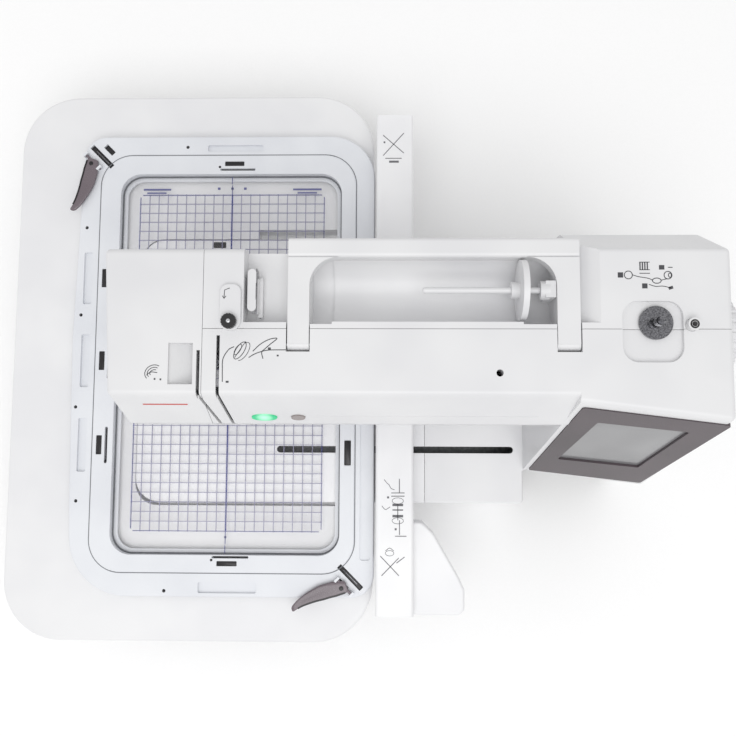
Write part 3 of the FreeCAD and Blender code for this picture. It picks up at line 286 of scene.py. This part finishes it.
def flowing(points, steps=8):
    """Smooth line through points: the Catmull-Rom cubic between each two, as one array."""
    p = np.asarray(points, float)
    p = np.vstack([2 * p[0] - p[1], p, 2 * p[-1] - p[-2]])
    t = np.linspace(0, 1, steps, endpoint=False)[None, :, None]
    a, b, c, d = (p[i:len(p) - 3 + i, None] for i in range(4))
    curve = 0.5 * (2 * b + (c - a) * t + (2 * a - 5 * b + 4 * c - d) * t ** 2
                   + (3 * b - a - 3 * c + d) * t ** 3)
    return np.vstack([curve.reshape(-1, p.shape[1]), p[-2:-1]])


def oval(x, y, across, along, turn=0.0, start=0.0, end=360.0):
    """Points of an ellipse or part of one: x = a cos t, y = b sin t, turned by `turn` degrees."""
    t = np.radians(np.linspace(start, end, 29))
    u, v, w = across * np.cos(t), along * np.sin(t), np.radians(turn)
    return np.c_[x + u * np.cos(w) - v * np.sin(w), y + u * np.sin(w) + v * np.cos(w)]


def printed(points, width, z):
    """Ink line on a level surface at height z."""
    points = np.asarray(points, float)
    path = np.c_[points, np.full(len(points), z + 0.02)]
    half = width / 2
    return carried(path, [(-half, 0), (half, 0), (half, ink_film), (-half, ink_film)], (0, 0, 1))


# Pad-printing ink: matt grey-black, in two close tints.
ink = moulding("pad_print_ink", "#48484c", "#38383c", 0.55, 0.6, 0.004, 1.50)
tower_signs = [printed([(x - 2.2, y), (x + 2.2, y)], w, arm_top)
               for x, y, w in ((361.3, 51.8, 4.4), (395.4, 58.2, 3.8), (381.1, 42.6, 4.2))]
tower_signs += [printed([(400.6, 58.2), (404.4, 58.2)], 0.7, arm_top)]
tower_signs += [printed(oval(x, y, a, b), 0.7, arm_top)
                for x, y, a, b in ((367.8, 51.8, 3.3, 3.3), (400.4, 51.6, 3.2, 3.2),
                                   (391.1, 47.0, 3.6, 2.2), (402.0, 51.6, 1.2, 1.8))]
tower_signs += [printed([(377.6 + 2 * i, 62.4), (377.6 + 2 * i, 56.0)], 1.0, arm_top) for i in range(4)]
tower_signs += [printed([(377, y), (385.6, y)], 0.6, arm_top) for y in (53.2, 56.2, 62.6)]
tower_signs += [printed(flowing(line), 0.6, arm_top) for line in (
    [(371, 52), (376, 50.4), (384, 49.0), (387.6, 47.4)],
    [(394.6, 47.4), (398, 48.2), (399.8, 48.6)],
    [(384.5, 43.9), (390, 42.2), (396.0, 42.4), (402.4, 41.0)])]
tower_signs += [printed([(400.6, 40.4), (404.2, 41.6)], 2.4, arm_top)]
piece("tower_signs", tower_signs, ink, "machine")

arm_signs = [printed(flowing(line), 0.7, arm_top) for line in (
    [(31.8, -37.9), (31.6, -28.0), (31.9, -18.8), (36.3, -11.3), (41.0, -8.6)],
    [(56.6, -12.4), (63.0, -6.4), (70.4, -2.4), (76.6, -1.7), (71.0, -6.6), (66.0, -11.0),
     (64.0, -13.4), (65.2, -18.7)],
    [(53.2, -17.7), (58.0, -14.8), (64.0, -12.6), (70.3, -11.4), (84.1, -11.2)])]
arm_signs += [printed(oval(45.9, -11.8, 8.2, 3.4, 58), 0.6, arm_top),
              printed(oval(48.6, -12.6, 8.6, 3.8, 58, 190, 400), 0.5, arm_top),
              printed(oval(44.2, -11.0, 5.0, 2.0, 58), 0.5, arm_top),
              printed([(41.6, -17.6), (50.6, -4.2)], 0.5, arm_top),
              printed([(34.6, -37.9), (37.0, -37.9)], 1.6, arm_top),
              printed([(76.6, -16.0), (78.2, -16.0)], 1.4, arm_top),
              printed([(69.2, -10.2), (71.6, -10.2)], 1.9, arm_top)]
piece("arm_signs", arm_signs, ink, "machine")

face_signs = [printed(oval(-25.8, -30.4, 3.2 + 2.1 * i, 2.2 + 2.0 * i, 24, 30, 200), 0.6, arm_top)
              for i in range(3)]
face_signs += [printed([(-25.4, -35.7), (-24.0, -35.7)], 1.5, arm_top),
               printed([(-20.5, -36.0), (-19.1, -36.0)], 1.5, arm_top),
               printed(flowing([(-31.7, -32.5), (-28.0, -30.0), (-22.6, -30.4)]), 0.6, arm_top)]
piece("face_signs", face_signs, ink, "machine")

guide_signs = [printed([(37.0, 40.1), (32.8, 38.5), (32.4, 32.0)], 0.6, 303.5),
               printed([(31.0, 33.6), (32.4, 31.2), (34.0, 33.4)], 0.6, 303.5)]
piece("guide_signs", guide_signs, ink, "machine")

# The plain red trim line on the face's slope is hot-foiled: the section follows the slope.
slope_out = np.array([0, -(arm_top - slope_low_z), slope_top_y - slope_low_y])
slope_out = slope_out / np.linalg.norm(slope_out)


def on_slope(x, z, out):
    """Point on the arm's sloped face: y runs in proportion from the low edge to the top edge."""
    y = slope_low_y + (slope_top_y - slope_low_y) * (z - slope_low_z) / (arm_top - slope_low_z)
    return np.array([x, y, z]) + slope_out * out


# Hot-stamped foil: flat signal red with a soft sheen.
foil = moulding("red_hot_foil", "#c23a30", "#b0322a", 0.32, 0.7, 0.004, 1.50)
piece("trim_line", [carried([on_slope(-39.0, 283, 0.02), on_slope(-20, 283, 0.02),
                             on_slope(-0.8, 283, 0.02)],
                            [(-0.9, 0), (0.9, 0), (0.9, ink_film), (-0.9, ink_film)], slope_out)],
      foil, "machine")

# ---------------------------------------------------------------- screen
# A plum-grey ABS bezel frames a liquid-crystal screen behind a hard-coated touch film.
# Satin ABS in plum grey.
bezel = moulding("plum_abs_satin", "#4d4348", "#433b3f", 0.38, 0.9, 0.012)
finish(bezel, "screen_bezel")
# LCD behind touch film: mid grey, its columns of cells drawn 0.4 mm apart where real ones are
# 0.2 mm, under a glossy hard coat.
glass, place = begin("lcd_behind_touch_film")
slow = add(glass, "ShaderNodeTexNoise", {"Scale": 16.0, "Detail": 1.0}, {"Vector": place})
bands = add(glass, "ShaderNodeTexWave", {"Scale": 830.0, "Distortion": 0.0}, {"Vector": place})
grey = add(glass, "ShaderNodeValToRGB", None, {"Fac": slow.outputs[0]})
grey.color_ramp.elements[0].position, grey.color_ramp.elements[0].color = 0.35, linear("#7a7a7c")
grey.color_ramp.elements[1].position, grey.color_ramp.elements[1].color = 0.65, linear("#8a8a8c")
rows = add(glass, "ShaderNodeMapRange", {"To Min": 0.93, "To Max": 1.0}, {"Value": bands.outputs[1]})
colour = add(glass, "ShaderNodeMix", {0: 1.0}, {6: grey.outputs[0], 7: rows.outputs[0]},
             data_type="RGBA", blend_type="MULTIPLY")
shader = add(glass, "ShaderNodeBsdfPrincipled",
             {"Roughness": 0.3, "IOR": 1.5, "Coat Weight": 0.5, "Coat Roughness": 0.08},
             {"Base Color": colour.outputs[2]})
add(glass, "ShaderNodeOutputMaterial", None, {"Surface": shader.outputs[0]})
finish(glass, "screen_glass")

# ---------------------------------------------------------------- buttons on the slope
# The start button is translucent white ABS lit green from behind; the thread cutter's is
# brown-grey. Each sits in an oval hole and is pressed straight into the slope.
low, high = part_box("start_button")
middle = (low + high) / 2
lit, place = begin("lit_green_cap")
centred = add(lit, "ShaderNodeMapping", {"Location": (-middle.x, -middle.y, -middle.z)},
              {"Vector": place})
reach = add(lit, "ShaderNodeVectorMath", None, {0: centred.outputs[0]}, operation="LENGTH")
# Backlit cap: palest over the lamp, full green 9 mm out, where the plastic is thickest.
shade = add(lit, "ShaderNodeValToRGB", None, {"Fac": add(
    lit, "ShaderNodeMapRange", {"From Max": 0.012}, {"Value": reach.outputs["Value"]}).outputs[0]})
shade.color_ramp.elements[0].position, shade.color_ramp.elements[0].color = 0.15, linear("#bff5d8")
shade.color_ramp.elements[1].position, shade.color_ramp.elements[1].color = 0.75, linear("#2fae78")
shader = add(lit, "ShaderNodeBsdfPrincipled",
             {"Roughness": 0.3, "IOR": 1.54, "Emission Strength": 0.55},
             {"Base Color": shade.outputs[0], "Emission Color": shade.outputs[0]})
add(lit, "ShaderNodeOutputMaterial", None, {"Surface": shader.outputs[0]})
finish(lit, "start_button")
# Gloss ABS in brown grey.
finish(moulding("brown_abs_gloss", "#a39a98", "#8c8381", 0.22, 0.9, 0.008, 1.54, 0.3), "cutter_button")

# ---------------------------------------------------------------- thread guides and dial
# The guide block and plate are white ABS; the pre-tension dial is knurled black with a bright
# slotted screw through it, and a steel spring plate stands behind the block.
finish(white, "thread_guides")


def turned(profile, centre, axis=(0, 0, 1), steps=48):
    """Surface of revolution: (radius, height) pairs swept round an axis through `centre`."""
    axis = np.asarray(axis, float) / np.linalg.norm(axis)
    across = np.cross(axis, (0, 1, 0) if abs(axis[1]) < 0.9 else (1, 0, 0))
    across /= np.linalg.norm(across)
    t = np.linspace(0, 2 * np.pi, steps, endpoint=False)
    spoke = np.cos(t)[:, None] * across + np.sin(t)[:, None] * np.cross(axis, across)
    profile = np.asarray(profile, float)
    return (np.asarray(centre, float) + profile[:, None, :1] * spoke[None]
            + profile[:, None, 1:] * axis)


# Knurled black ABS: near-black gloss that sparkles on its ridges.
dial = moulding("black_abs_gloss", "#141315", "#0b0a0c", 0.38, 1.1, 0.02, 1.54, 0.1)
finish(dial, "tension_dial")
piece("dial_screw", [turned([(1.7, 0), (1.7, 0.4), (1.4, 0.7), (0.9, 0.8), (0.8, 0.4), (0.05, 0.4)],
                            (37, 12, 307.9))], chrome, "dial")
spring_leaf = [(57.9, y, 291.0 + 1.2 * np.sin(np.pi * (y - 20) / 38)) for y in np.linspace(20, 58, 20)]
piece("guide_leaf", [carried(spring_leaf, [(-0.4, -6), (0.4, -6), (0.4, 4), (-0.4, 4)], (0, 0, 1))],
      smoky, "machine")

# ---------------------------------------------------------------- handle, spool and winder
# The carrying handle is a satin ABS moulding; the spool disc and pin are plain ABS. The winder's
# black-nickel seat carries a coil of spring wire that grips the bobbin.
finish(white, "carrying_handle")
angle = np.linspace(0, 5.6 * np.pi, 120)
coil = np.c_[390 + 3.5 * np.cos(angle), 12 + 3.5 * np.sin(angle), 302.2 + 0.42 * angle]
wire = [(0.4 * np.cos(t), 0.4 * np.sin(t)) for t in np.linspace(0, 2 * np.pi, 8, endpoint=False)]
piece("winder_spring", [carried(coil, wire, (0, 0, 1))], smoky, "winder_spindle")
# The black cap in the stopper's top is painted shade for the dark of its hole.
piece("stopper_hole_shade", [turned([(2.1, 300.2), (2.1, 306.4), (3.8, 307.05), (3.6, 307.3), (2.0, 306.9),
                              (0.05, 306.6)], (418.6, 10, 0))], black, "machine")

# ---------------------------------------------------------------- embroidery unit
# The beam's cover is one white ABS box with the motor's wing; its signs are printed on top.
finish(moulding("beam_abs_satin", "#efeff0", "#e8e8ea", 0.34, 0.9, 0.012), "beam_cover")
beam_top = 150.0
beam_signs = [printed([a, b], 0.8, beam_top) for a, b in (
    ((163.7, 231.9), (185.3, 212.6)), ((185.3, 234.0), (163.8, 210.0)),
    ((162.0, -199.2), (180.4, -218.2)), ((180.3, -200.9), (163.3, -218.4)),
    ((172.7, -137.2), (186.0, -137.1)), ((172.7, -140.4), (186.0, -140.3)),
    ((180.9, -123.2), (180.9, -137.0)), ((179.3, -147.8), (179.3, -164.1)),
    ((181.0, -164.1), (181.0, -178.5)), ((176.5, -179.7), (187.9, -179.7)),
    ((178.0, -206.0), (186.0, -200.0)), ((166.0, 207.0), (183.0, 207.0)))]
beam_signs += [printed([a, b], w, beam_top) for a, b, w in (
    ((174.0, -149.0), (184.6, -149.0), 2.4), ((174.0, -154.0), (184.6, -154.0), 1.2),
    ((174.0, -160.0), (184.6, -160.0), 2.4), ((168.6, -141.6), (170.6, -141.6), 2.0),
    ((176.2, -172.9), (178.2, -172.9), 2.0),
    ((164.2, 224.2), (166.0, 224.2), 1.8), ((170.0, 203.4), (180.0, 203.4), 2.2))]
beam_signs += [printed(flowing(line), 0.6, beam_top) for line in (
    [(165.6, -123.9), (168.4, -127.4), (170.4, -129.0), (172.7, -132.7), (176.0, -134.0)],
    [(163.4, -150.0), (167.0, -153.6), (171.6, -151.0)],
    [(167.1, -194.1), (171.2, -191.4), (175.3, -194.1)])]
beam_signs += [printed(oval(x, y, a, b), 0.5, beam_top) for x, y, a, b in (
    (179.3, -145.0, 5.6, 3.0), (179.3, -164.6, 5.6, 3.0), (171.2, -196.4, 4.2, 2.6))]
# The same ink, paler for its thinner film on the beam.
thin_ink = moulding("thin_pad_print_ink", "#707074", "#626266", 0.55, 0.6, 0.004, 1.50)
piece("beam_signs", beam_signs, thin_ink, "beam")

# ---------------------------------------------------------------- hoop
# Outer and inner rings are cool grey glass-filled ABS. Black pieces set in the inner ring's notches and
# slots are painted shade for the dark of those holes; a black bar under a thin spring-steel strip fills
# each corner clamp's slot as painted shade.
# Glass-filled ABS: cool light grey, slightly duller, in two faint tints.
hoop_grey = moulding("hoop_grey_abs", "#e2e4e8", "#dadce1", 0.40, 1.0, 0.02)
finish(hoop_grey, "hoop_outer_ring", "hoop_inner_ring")
ring_top = 120.5


def rounded(width, depth, radius, steps=5):
    """Rounded rectangle about the origin: four quarter arcs joined by straight sides."""
    t = np.linspace(0, np.pi / 2, steps)
    corners = [(1, 1, 0), (-1, 1, np.pi / 2), (-1, -1, np.pi), (1, -1, 1.5 * np.pi)]
    return np.vstack([np.c_[sx * (width / 2 - radius) + radius * np.cos(t + a),
                            sy * (depth / 2 - radius) + radius * np.sin(t + a)]
                      for sx, sy, a in corners])


def pad(x, y, width, depth, radius, base, top, turn=0.0, dome=0.4):
    """Block with a rolled upper edge: nested rounded outlines, each (inset, height), turned in plan."""
    rows = []
    for inset, z in ((0.0, base), (0.0, top - dome), (0.3 * dome, top - 0.3 * dome), (dome, top)):
        ring = rounded(width - 2 * inset, depth - 2 * inset, max(radius - inset, 0.05))
        c, s = np.cos(np.radians(turn)), np.sin(np.radians(turn))
        ring = ring @ np.array([[c, s], [-s, c]])
        rows.append(np.c_[ring[:, 0] + x, ring[:, 1] + y, np.full(len(ring), z)])
    return np.stack(rows)


# Moulded acetal: smooth black with a waxy shine, used below mostly for painted shade.
acetal = moulding("black_acetal_and_shade", "#232124", "#171518", 0.3, 1.0, 0.01, 1.48)
# Black pads in the ring's notches and slots: painted shade for the dark of those holes.
slot_shade_pads = [pad(-133.5, y, 5.4, 19.4, 0.7, 116.0, 120.9) for y in (-90.7, -2, 86.7)]
slot_shade_pads += [pad(127.5, -98, 6.4, 25.4, 0.7, 116.0, 120.9)]
slot_shade_pads += [pad(3.5, y, 20.4, 4.6, 0.7, 116.0, 120.9) for y in (-212, 212)]
slot_shade_pads += [pad(-126, y, 2.2, 36, 0.6, 116.6, 118.2) for y in (-90.7, -2, 86.7)]
slot_shade_pads += [pad(7, y, 36, 1.8, 0.6, 117.6, 118.8) for y in (-205.5, 205.5)]
slot_shade_pads += [pad(x, y, 3.0, 3.0, 1.4, 117.0, 121.9, 0, 0.5) for x, y in (
    (-126, -108.5), (-126, -20), (-126, 68.5), (-12.4, 208.4), (-12.4, -208.4))]
piece("hoop_slot_shade", slot_shade_pads, acetal, "hoop")
springs = []
corners = ((-141.0, 220.5, 135.0), (131.0, -225.0, -45.0))
strips = []
for x, y, turn in corners:
    c, s = np.cos(np.radians(turn)), np.sin(np.radians(turn))
    # The black bar deep in each corner slot is painted shade for the slot's depth.
    strips.append(pad(x, y, 32.0, 4.9, 0.6, 112.2, 118.6, turn))
    strips.append(pad(x + 11 * s, y - 11 * c, 12.4, 4.9, 0.6, 116.1, 118.6, turn))
    springs.append(pad(x, y, 20.0, 0.9, 0.3, 118.0, 118.9, turn, 0.2))
piece("clamp_slot_shade", strips, acetal, "hoop")
piece("catch_springs", springs, smoky, "hoop")
# Black domes sunk below the ring's top in its small holes: painted shade for the dark of the holes.
hole_shade_domes = [turned([(1.65, 117.4), (1.65, 119.2), (1.2, 119.7), (0.7, 119.5), (0.05, 119.0)], (x, y, 0),
                steps=16)
         for x, y in ((-48, 231), (-155, 142), (-158, 47), (-160, -51), (-156, -149), (-61, -240))]
piece("ring_hole_shade", hole_shade_domes, acetal, "hoop")
# A dark grey band lies in the joint between the rings, and another in the template's seat: painted
# shade for the dark of those gaps.
outline = rounded(2 * 138.1, 2 * 221.8, 33.8, 12) + np.array([-2.9, 0])
seat = rounded(2 * 119.0, 2 * 201.6, 21.8, 12) + np.array([0.25, -1.5])
gap_band = [(-0.55, 0), (0.55, 0), (0.55, 0.5), (-0.55, 0.5)]
# Mid grey, used only as painted shade in the gaps.
soft = moulding("painted_gap_shade", "#6e7075", "#626469", 0.6, 0.8, 0.02, 1.52)
for name, ring, z, width in (("ring_gap_shade", outline, ring_top - 0.3, 1.0),
                             ("seat_gap_shade", seat, 113.6, 2.2)):
    path = np.c_[ring, np.full(len(ring), z)]
    closed = np.vstack([path[-1:], path, path[:1]])
    band = carried(closed, np.array(gap_band) * (width, 1), (0, 0, 1))[1:-1]
    piece(name, [band], soft, "hoop", loop=True)

# ---------------------------------------------------------------- grid template
# A 1.5 mm sheet of clear acrylic with a raised rim, screen printed: a lavender-grey grid at
# 10 mm, and a navy frame and long centre line.
template, place = begin("printed_clear_acrylic")
centred = add(template, "ShaderNodeMapping", {"Location": tuple(-needle)}, {"Vector": place})
axes = add(template, "ShaderNodeSeparateXYZ", None, {0: centred.outputs[0]})
half_field = (0.1, 0.18)
pitch, thin, bold = 0.010, 0.00036, 0.00070
inside, thin_lines, bold_lines = [], [], []
for axis, reach in zip((0, 1), half_field):
    size = add(template, "ShaderNodeMath", None, {0: axes.outputs[axis]}, operation="ABSOLUTE")
    within = add(template, "ShaderNodeMath", {1: reach + bold}, {0: size.outputs[0]},
                 operation="LESS_THAN")
    gap = add(template, "ShaderNodeMath", {1: pitch / 2}, {0: size.outputs[0]}, operation="PINGPONG")
    line = add(template, "ShaderNodeMath", {1: thin}, {0: gap.outputs[0]}, operation="LESS_THAN")
    frame_gap = add(template, "ShaderNodeMath", {1: reach}, {0: size.outputs[0]}, operation="SUBTRACT")
    frame_gap = add(template, "ShaderNodeMath", None, {0: frame_gap.outputs[0]}, operation="ABSOLUTE")
    edge = add(template, "ShaderNodeMath", {1: thin}, {0: frame_gap.outputs[0]}, operation="LESS_THAN")
    inside.append(within)
    thin_lines.append(line)
    bold_lines.append(edge)
    if axis == 0:
        middle_line = add(template, "ShaderNodeMath", {1: bold}, {0: size.outputs[0]},
                          operation="LESS_THAN")
        bold_lines.append(middle_line)


def joined(nodes, operation):
    """Two or more masks worked together, the largest or the smallest of them."""
    socket = nodes[0].outputs[0]
    for other in nodes[1:]:
        socket = add(template, "ShaderNodeMath", None, {0: socket, 1: other.outputs[0]},
                     operation=operation).outputs[0]
    return socket


field = joined(inside, "MINIMUM")
grid_mask = add(template, "ShaderNodeMath", None, {0: joined(thin_lines, "MAXIMUM"), 1: field},
                operation="MINIMUM")
bold_mask = add(template, "ShaderNodeMath", None, {0: joined(bold_lines, "MAXIMUM"), 1: field},
                operation="MINIMUM")
grid_ink = add(template, "ShaderNodeMix", {6: linear("#f4f3f8"), 7: linear("#8e8da8")},
               {0: grid_mask.outputs[0]}, data_type="RGBA")
all_ink = add(template, "ShaderNodeMix", {7: linear("#3b3f86")},
              {0: bold_mask.outputs[0], 6: grid_ink.outputs[2]}, data_type="RGBA")
any_line = add(template, "ShaderNodeMath", None, {0: grid_mask.outputs[0], 1: bold_mask.outputs[0]},
               operation="MAXIMUM")
solid = add(template, "ShaderNodeMapRange", {"To Min": 0.025, "To Max": 0.75},
            {"Value": any_line.outputs[0]})
haze = add(template, "ShaderNodeTexNoise", {"Scale": 220.0, "Detail": 2.0}, {"Vector": place})
dull = add(template, "ShaderNodeMapRange", {"To Min": 0.05, "To Max": 0.14}, {"Value": haze.outputs[0]})
shader = add(template, "ShaderNodeBsdfPrincipled", {"IOR": 1.49},
             {"Base Color": all_ink.outputs[2], "Alpha": solid.outputs[0],
              "Roughness": dull.outputs[0]})
add(template, "ShaderNodeOutputMaterial", None, {"Surface": shader.outputs[0]})
finish(template, "grid_template")
template_signs = [printed([(a, y), (b, y)], w, 113.4) for a, b, y, w in (
    (-97, -67, 186.0, 2.0), (-93, -72, 182.2, 1.6), (66, 97, 186.0, 2.0), (71, 92, 182.2, 1.6),
    (-16, -13, 187.0, 2.6), (12.5, 15.5, 187.0, 2.6), (-1.2, 1.2, -186.0, 2.0), (-1.4, 1.4, 187, 2.4))]
template_signs += [printed([(0, a), (0, b)], 0.9, z) for a, b, z in (
    (180, 190.6, 113.4), (191.4, 199.4, 114.6), (-180, -193.6, 113.4), (-194.4, -202.4, 114.6))]
# Navy screen ink on acrylic.
navy = moulding("navy_screen_ink", "#686a96", "#5a5d8c", 0.4, 0.6, 0.004, 1.50)
piece("template_signs", template_signs, navy, "hoop")

# ---------------------------------------------------------------- clamp levers
# Two over-centre levers in plum ABS, each a blade that swells from its pin, then draws out
# to a bent finger tip. The pin turns in ears of the outer ring.
lever_finish = moulding("plum_abs_gloss", "#766b71", "#62585e", 0.26, 1.0, 0.015, 1.54, 0.2)
finish(lever_finish, "presser_lifter", "rear_clamp_lever", "front_clamp_lever")
lever_z = 124.3
for name, (rx, ry), (tx, ty), curl, pin_angle in (
        ("rear_clamp", (-150.0, 214.0), (-169.0, 158.5), 1, -45.0),
        ("front_clamp", (125.0, -234.0), (73.0, -254.5), -1, 135.0)):
    heading = np.array([tx - rx, ty - ry, 0]) / np.hypot(tx - rx, ty - ry)
    aside = np.cross((0, 0, 1), heading) * curl
    run = np.concatenate([[-2.9, -2.7, -2.2], np.linspace(-1.4, 56, 26), [57.2, 57.8, 58.0]])
    bend = 3.0 * np.sin(np.pi * np.clip(run / 58, 0, 1)) - 2.2 * np.clip((run - 44) / 14, 0, 1) ** 2
    wide = np.interp(run, [-2.9, -2.7, -2.2, 0, 10, 24, 40, 50, 56, 57.2, 57.8, 58],
                     [3.4, 4.6, 5.6, 6.4, 7.8, 7.7, 5.4, 3.9, 3.0, 2.4, 1.5, 0.4])
    high = np.interp(run, [-2.9, -2.2, 0, 44, 56, 58], [0.8, 1.8, 2.3, 2.1, 1.6, 0.5])
    t = np.linspace(0, 2 * np.pi, 32, endpoint=False)
    across = np.sign(np.cos(t)) * np.abs(np.cos(t)) ** 0.55
    rise = np.sign(np.sin(t)) * np.abs(np.sin(t)) ** 0.55
    # Superellipse section |u|^3.6 + |v|^3.6 = 1, with the finger hollow sunk 0.7 mm in its top.
    hollow = 0.7 * np.exp(-((across[None] - 0.25) / 0.35) ** 2) * (rise[None] > 0) \
        * np.clip((run[:, None] - 12) / 10, 0, 1) * np.clip((52 - run[:, None]) / 10, 0, 1)
    blade = (np.array([rx, ry, lever_z]) + run[:, None, None] * heading
             + (bend[:, None] + wide[:, None] * across[None])[..., None] * aside
             + (high[:, None] * rise[None] - hollow)[..., None] * np.array([0, 0, 1]))
    turn = np.radians(pin_angle)
    pin = turned([(0.05, -12), (1.5, -12), (1.5, 12), (0.05, 12)], (rx, ry, lever_z),
                 (np.cos(turn), np.sin(turn), 0), 20)
    lever = piece(name + "_blade", [blade, pin], lever_finish, name)
    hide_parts(name + "_lever")
    # A black strip along the blade's inner side is painted shade for the dark under that side, and a
    # black rivet caps the pin.
    edge = (np.array([rx, ry, lever_z]) + run[4:27, None] * heading
            + (bend[4:27, None] - wide[4:27, None] * 0.86) * aside
            + high[4:27, None] * 0.8 * np.array([0, 0, 1]))
    strip = [(-1.1, -0.6), (1.1, -0.6), (0.8, 0.5), (-0.8, 0.5)]
    piece(name + "_shade_edge", [carried(edge, strip, (0, 0, 1))], acetal, name)
    piece(name + "_rivet", [turned([(2.3, 126.2), (2.3, 126.9), (1.7, 127.2), (0.05, 127.1)],
                                   (rx + 3 * heading[0], ry + 3 * heading[1], 0), steps=24)],
          acetal, name)

# ---------------------------------------------------------------- extension table
# An ABS moulding, hollow underneath, that slides round the free arm and stands on five legs.
finish(moulding("table_abs_satin", "#e8e8e9", "#e2e2e4", 0.38, 1.0, 0.014), "table_top", "table_legs")

# ---------------------------------------------------------------- studio
# Plain white paper underneath, one broad soft light from the front and a bright surround.
bpy.ops.mesh.primitive_plane_add(size=12, location=(0, 0, -0.0005))
floor = bpy.context.object
floor.name = "paper_floor"
paper, place = begin("white_matt_paper")
tooth = add(paper, "ShaderNodeTexNoise", {"Scale": 300.0, "Detail": 2.0}, {"Vector": place})
tone = add(paper, "ShaderNodeValToRGB", None, {"Fac": tooth.outputs[0]})
tone.color_ramp.elements[0].color = linear("#fafafa")
tone.color_ramp.elements[1].color = linear("#fdfdfd")
shader = add(paper, "ShaderNodeBsdfPrincipled", {"Roughness": 0.9, "IOR": 1.45},
             {"Base Color": tone.outputs[0]})
add(paper, "ShaderNodeOutputMaterial", None, {"Surface": shader.outputs[0]})
floor.data.materials.append(paper)

for name, place_at, size, power, aim in (
        ("front_key", (0.1, -1.2, 2.9), 2.4, 42, (0, 0, 0.1)),
        ("left_fill", (-2.2, 0.2, 1.6), 1.4, 4, (0, 0, 0.15))):
    lamp_data = bpy.data.lights.new(name, "AREA")
    lamp_data.size, lamp_data.energy = size, power
    light = bpy.data.objects.new(name, lamp_data)
    bpy.context.scene.collection.objects.link(light)
    light.location = place_at
    light.rotation_euler = (Vector(place_at) - Vector(aim)).to_track_quat("Z", "Y").to_euler()

world = bpy.data.worlds.new("soft_room")
world.use_nodes = True
world.node_tree.nodes["Background"].inputs["Color"].default_value = linear("#ffffff")
world.node_tree.nodes["Background"].inputs["Strength"].default_value = 0.70
bpy.context.scene.world = world
bpy.context.scene.view_settings.view_transform = "Standard"

camera_data = bpy.data.cameras.new("camera")
camera_data.lens, camera_data.sensor_width = 39.13, 36.0
camera = bpy.data.objects.new("camera", camera_data)
bpy.context.scene.collection.objects.link(camera)
camera.matrix_world = Matrix(((0.9997546966, -0.0023092345, 0.0220275734, 0.05137),
                              (0.0043819112, 0.9955136832, -0.0945161649, -0.08859),
                              (-0.0217105075, 0.0945895026, 0.9952795992, 0.95734),
                              (0, 0, 0, 1)))
bpy.context.scene.camera = camera
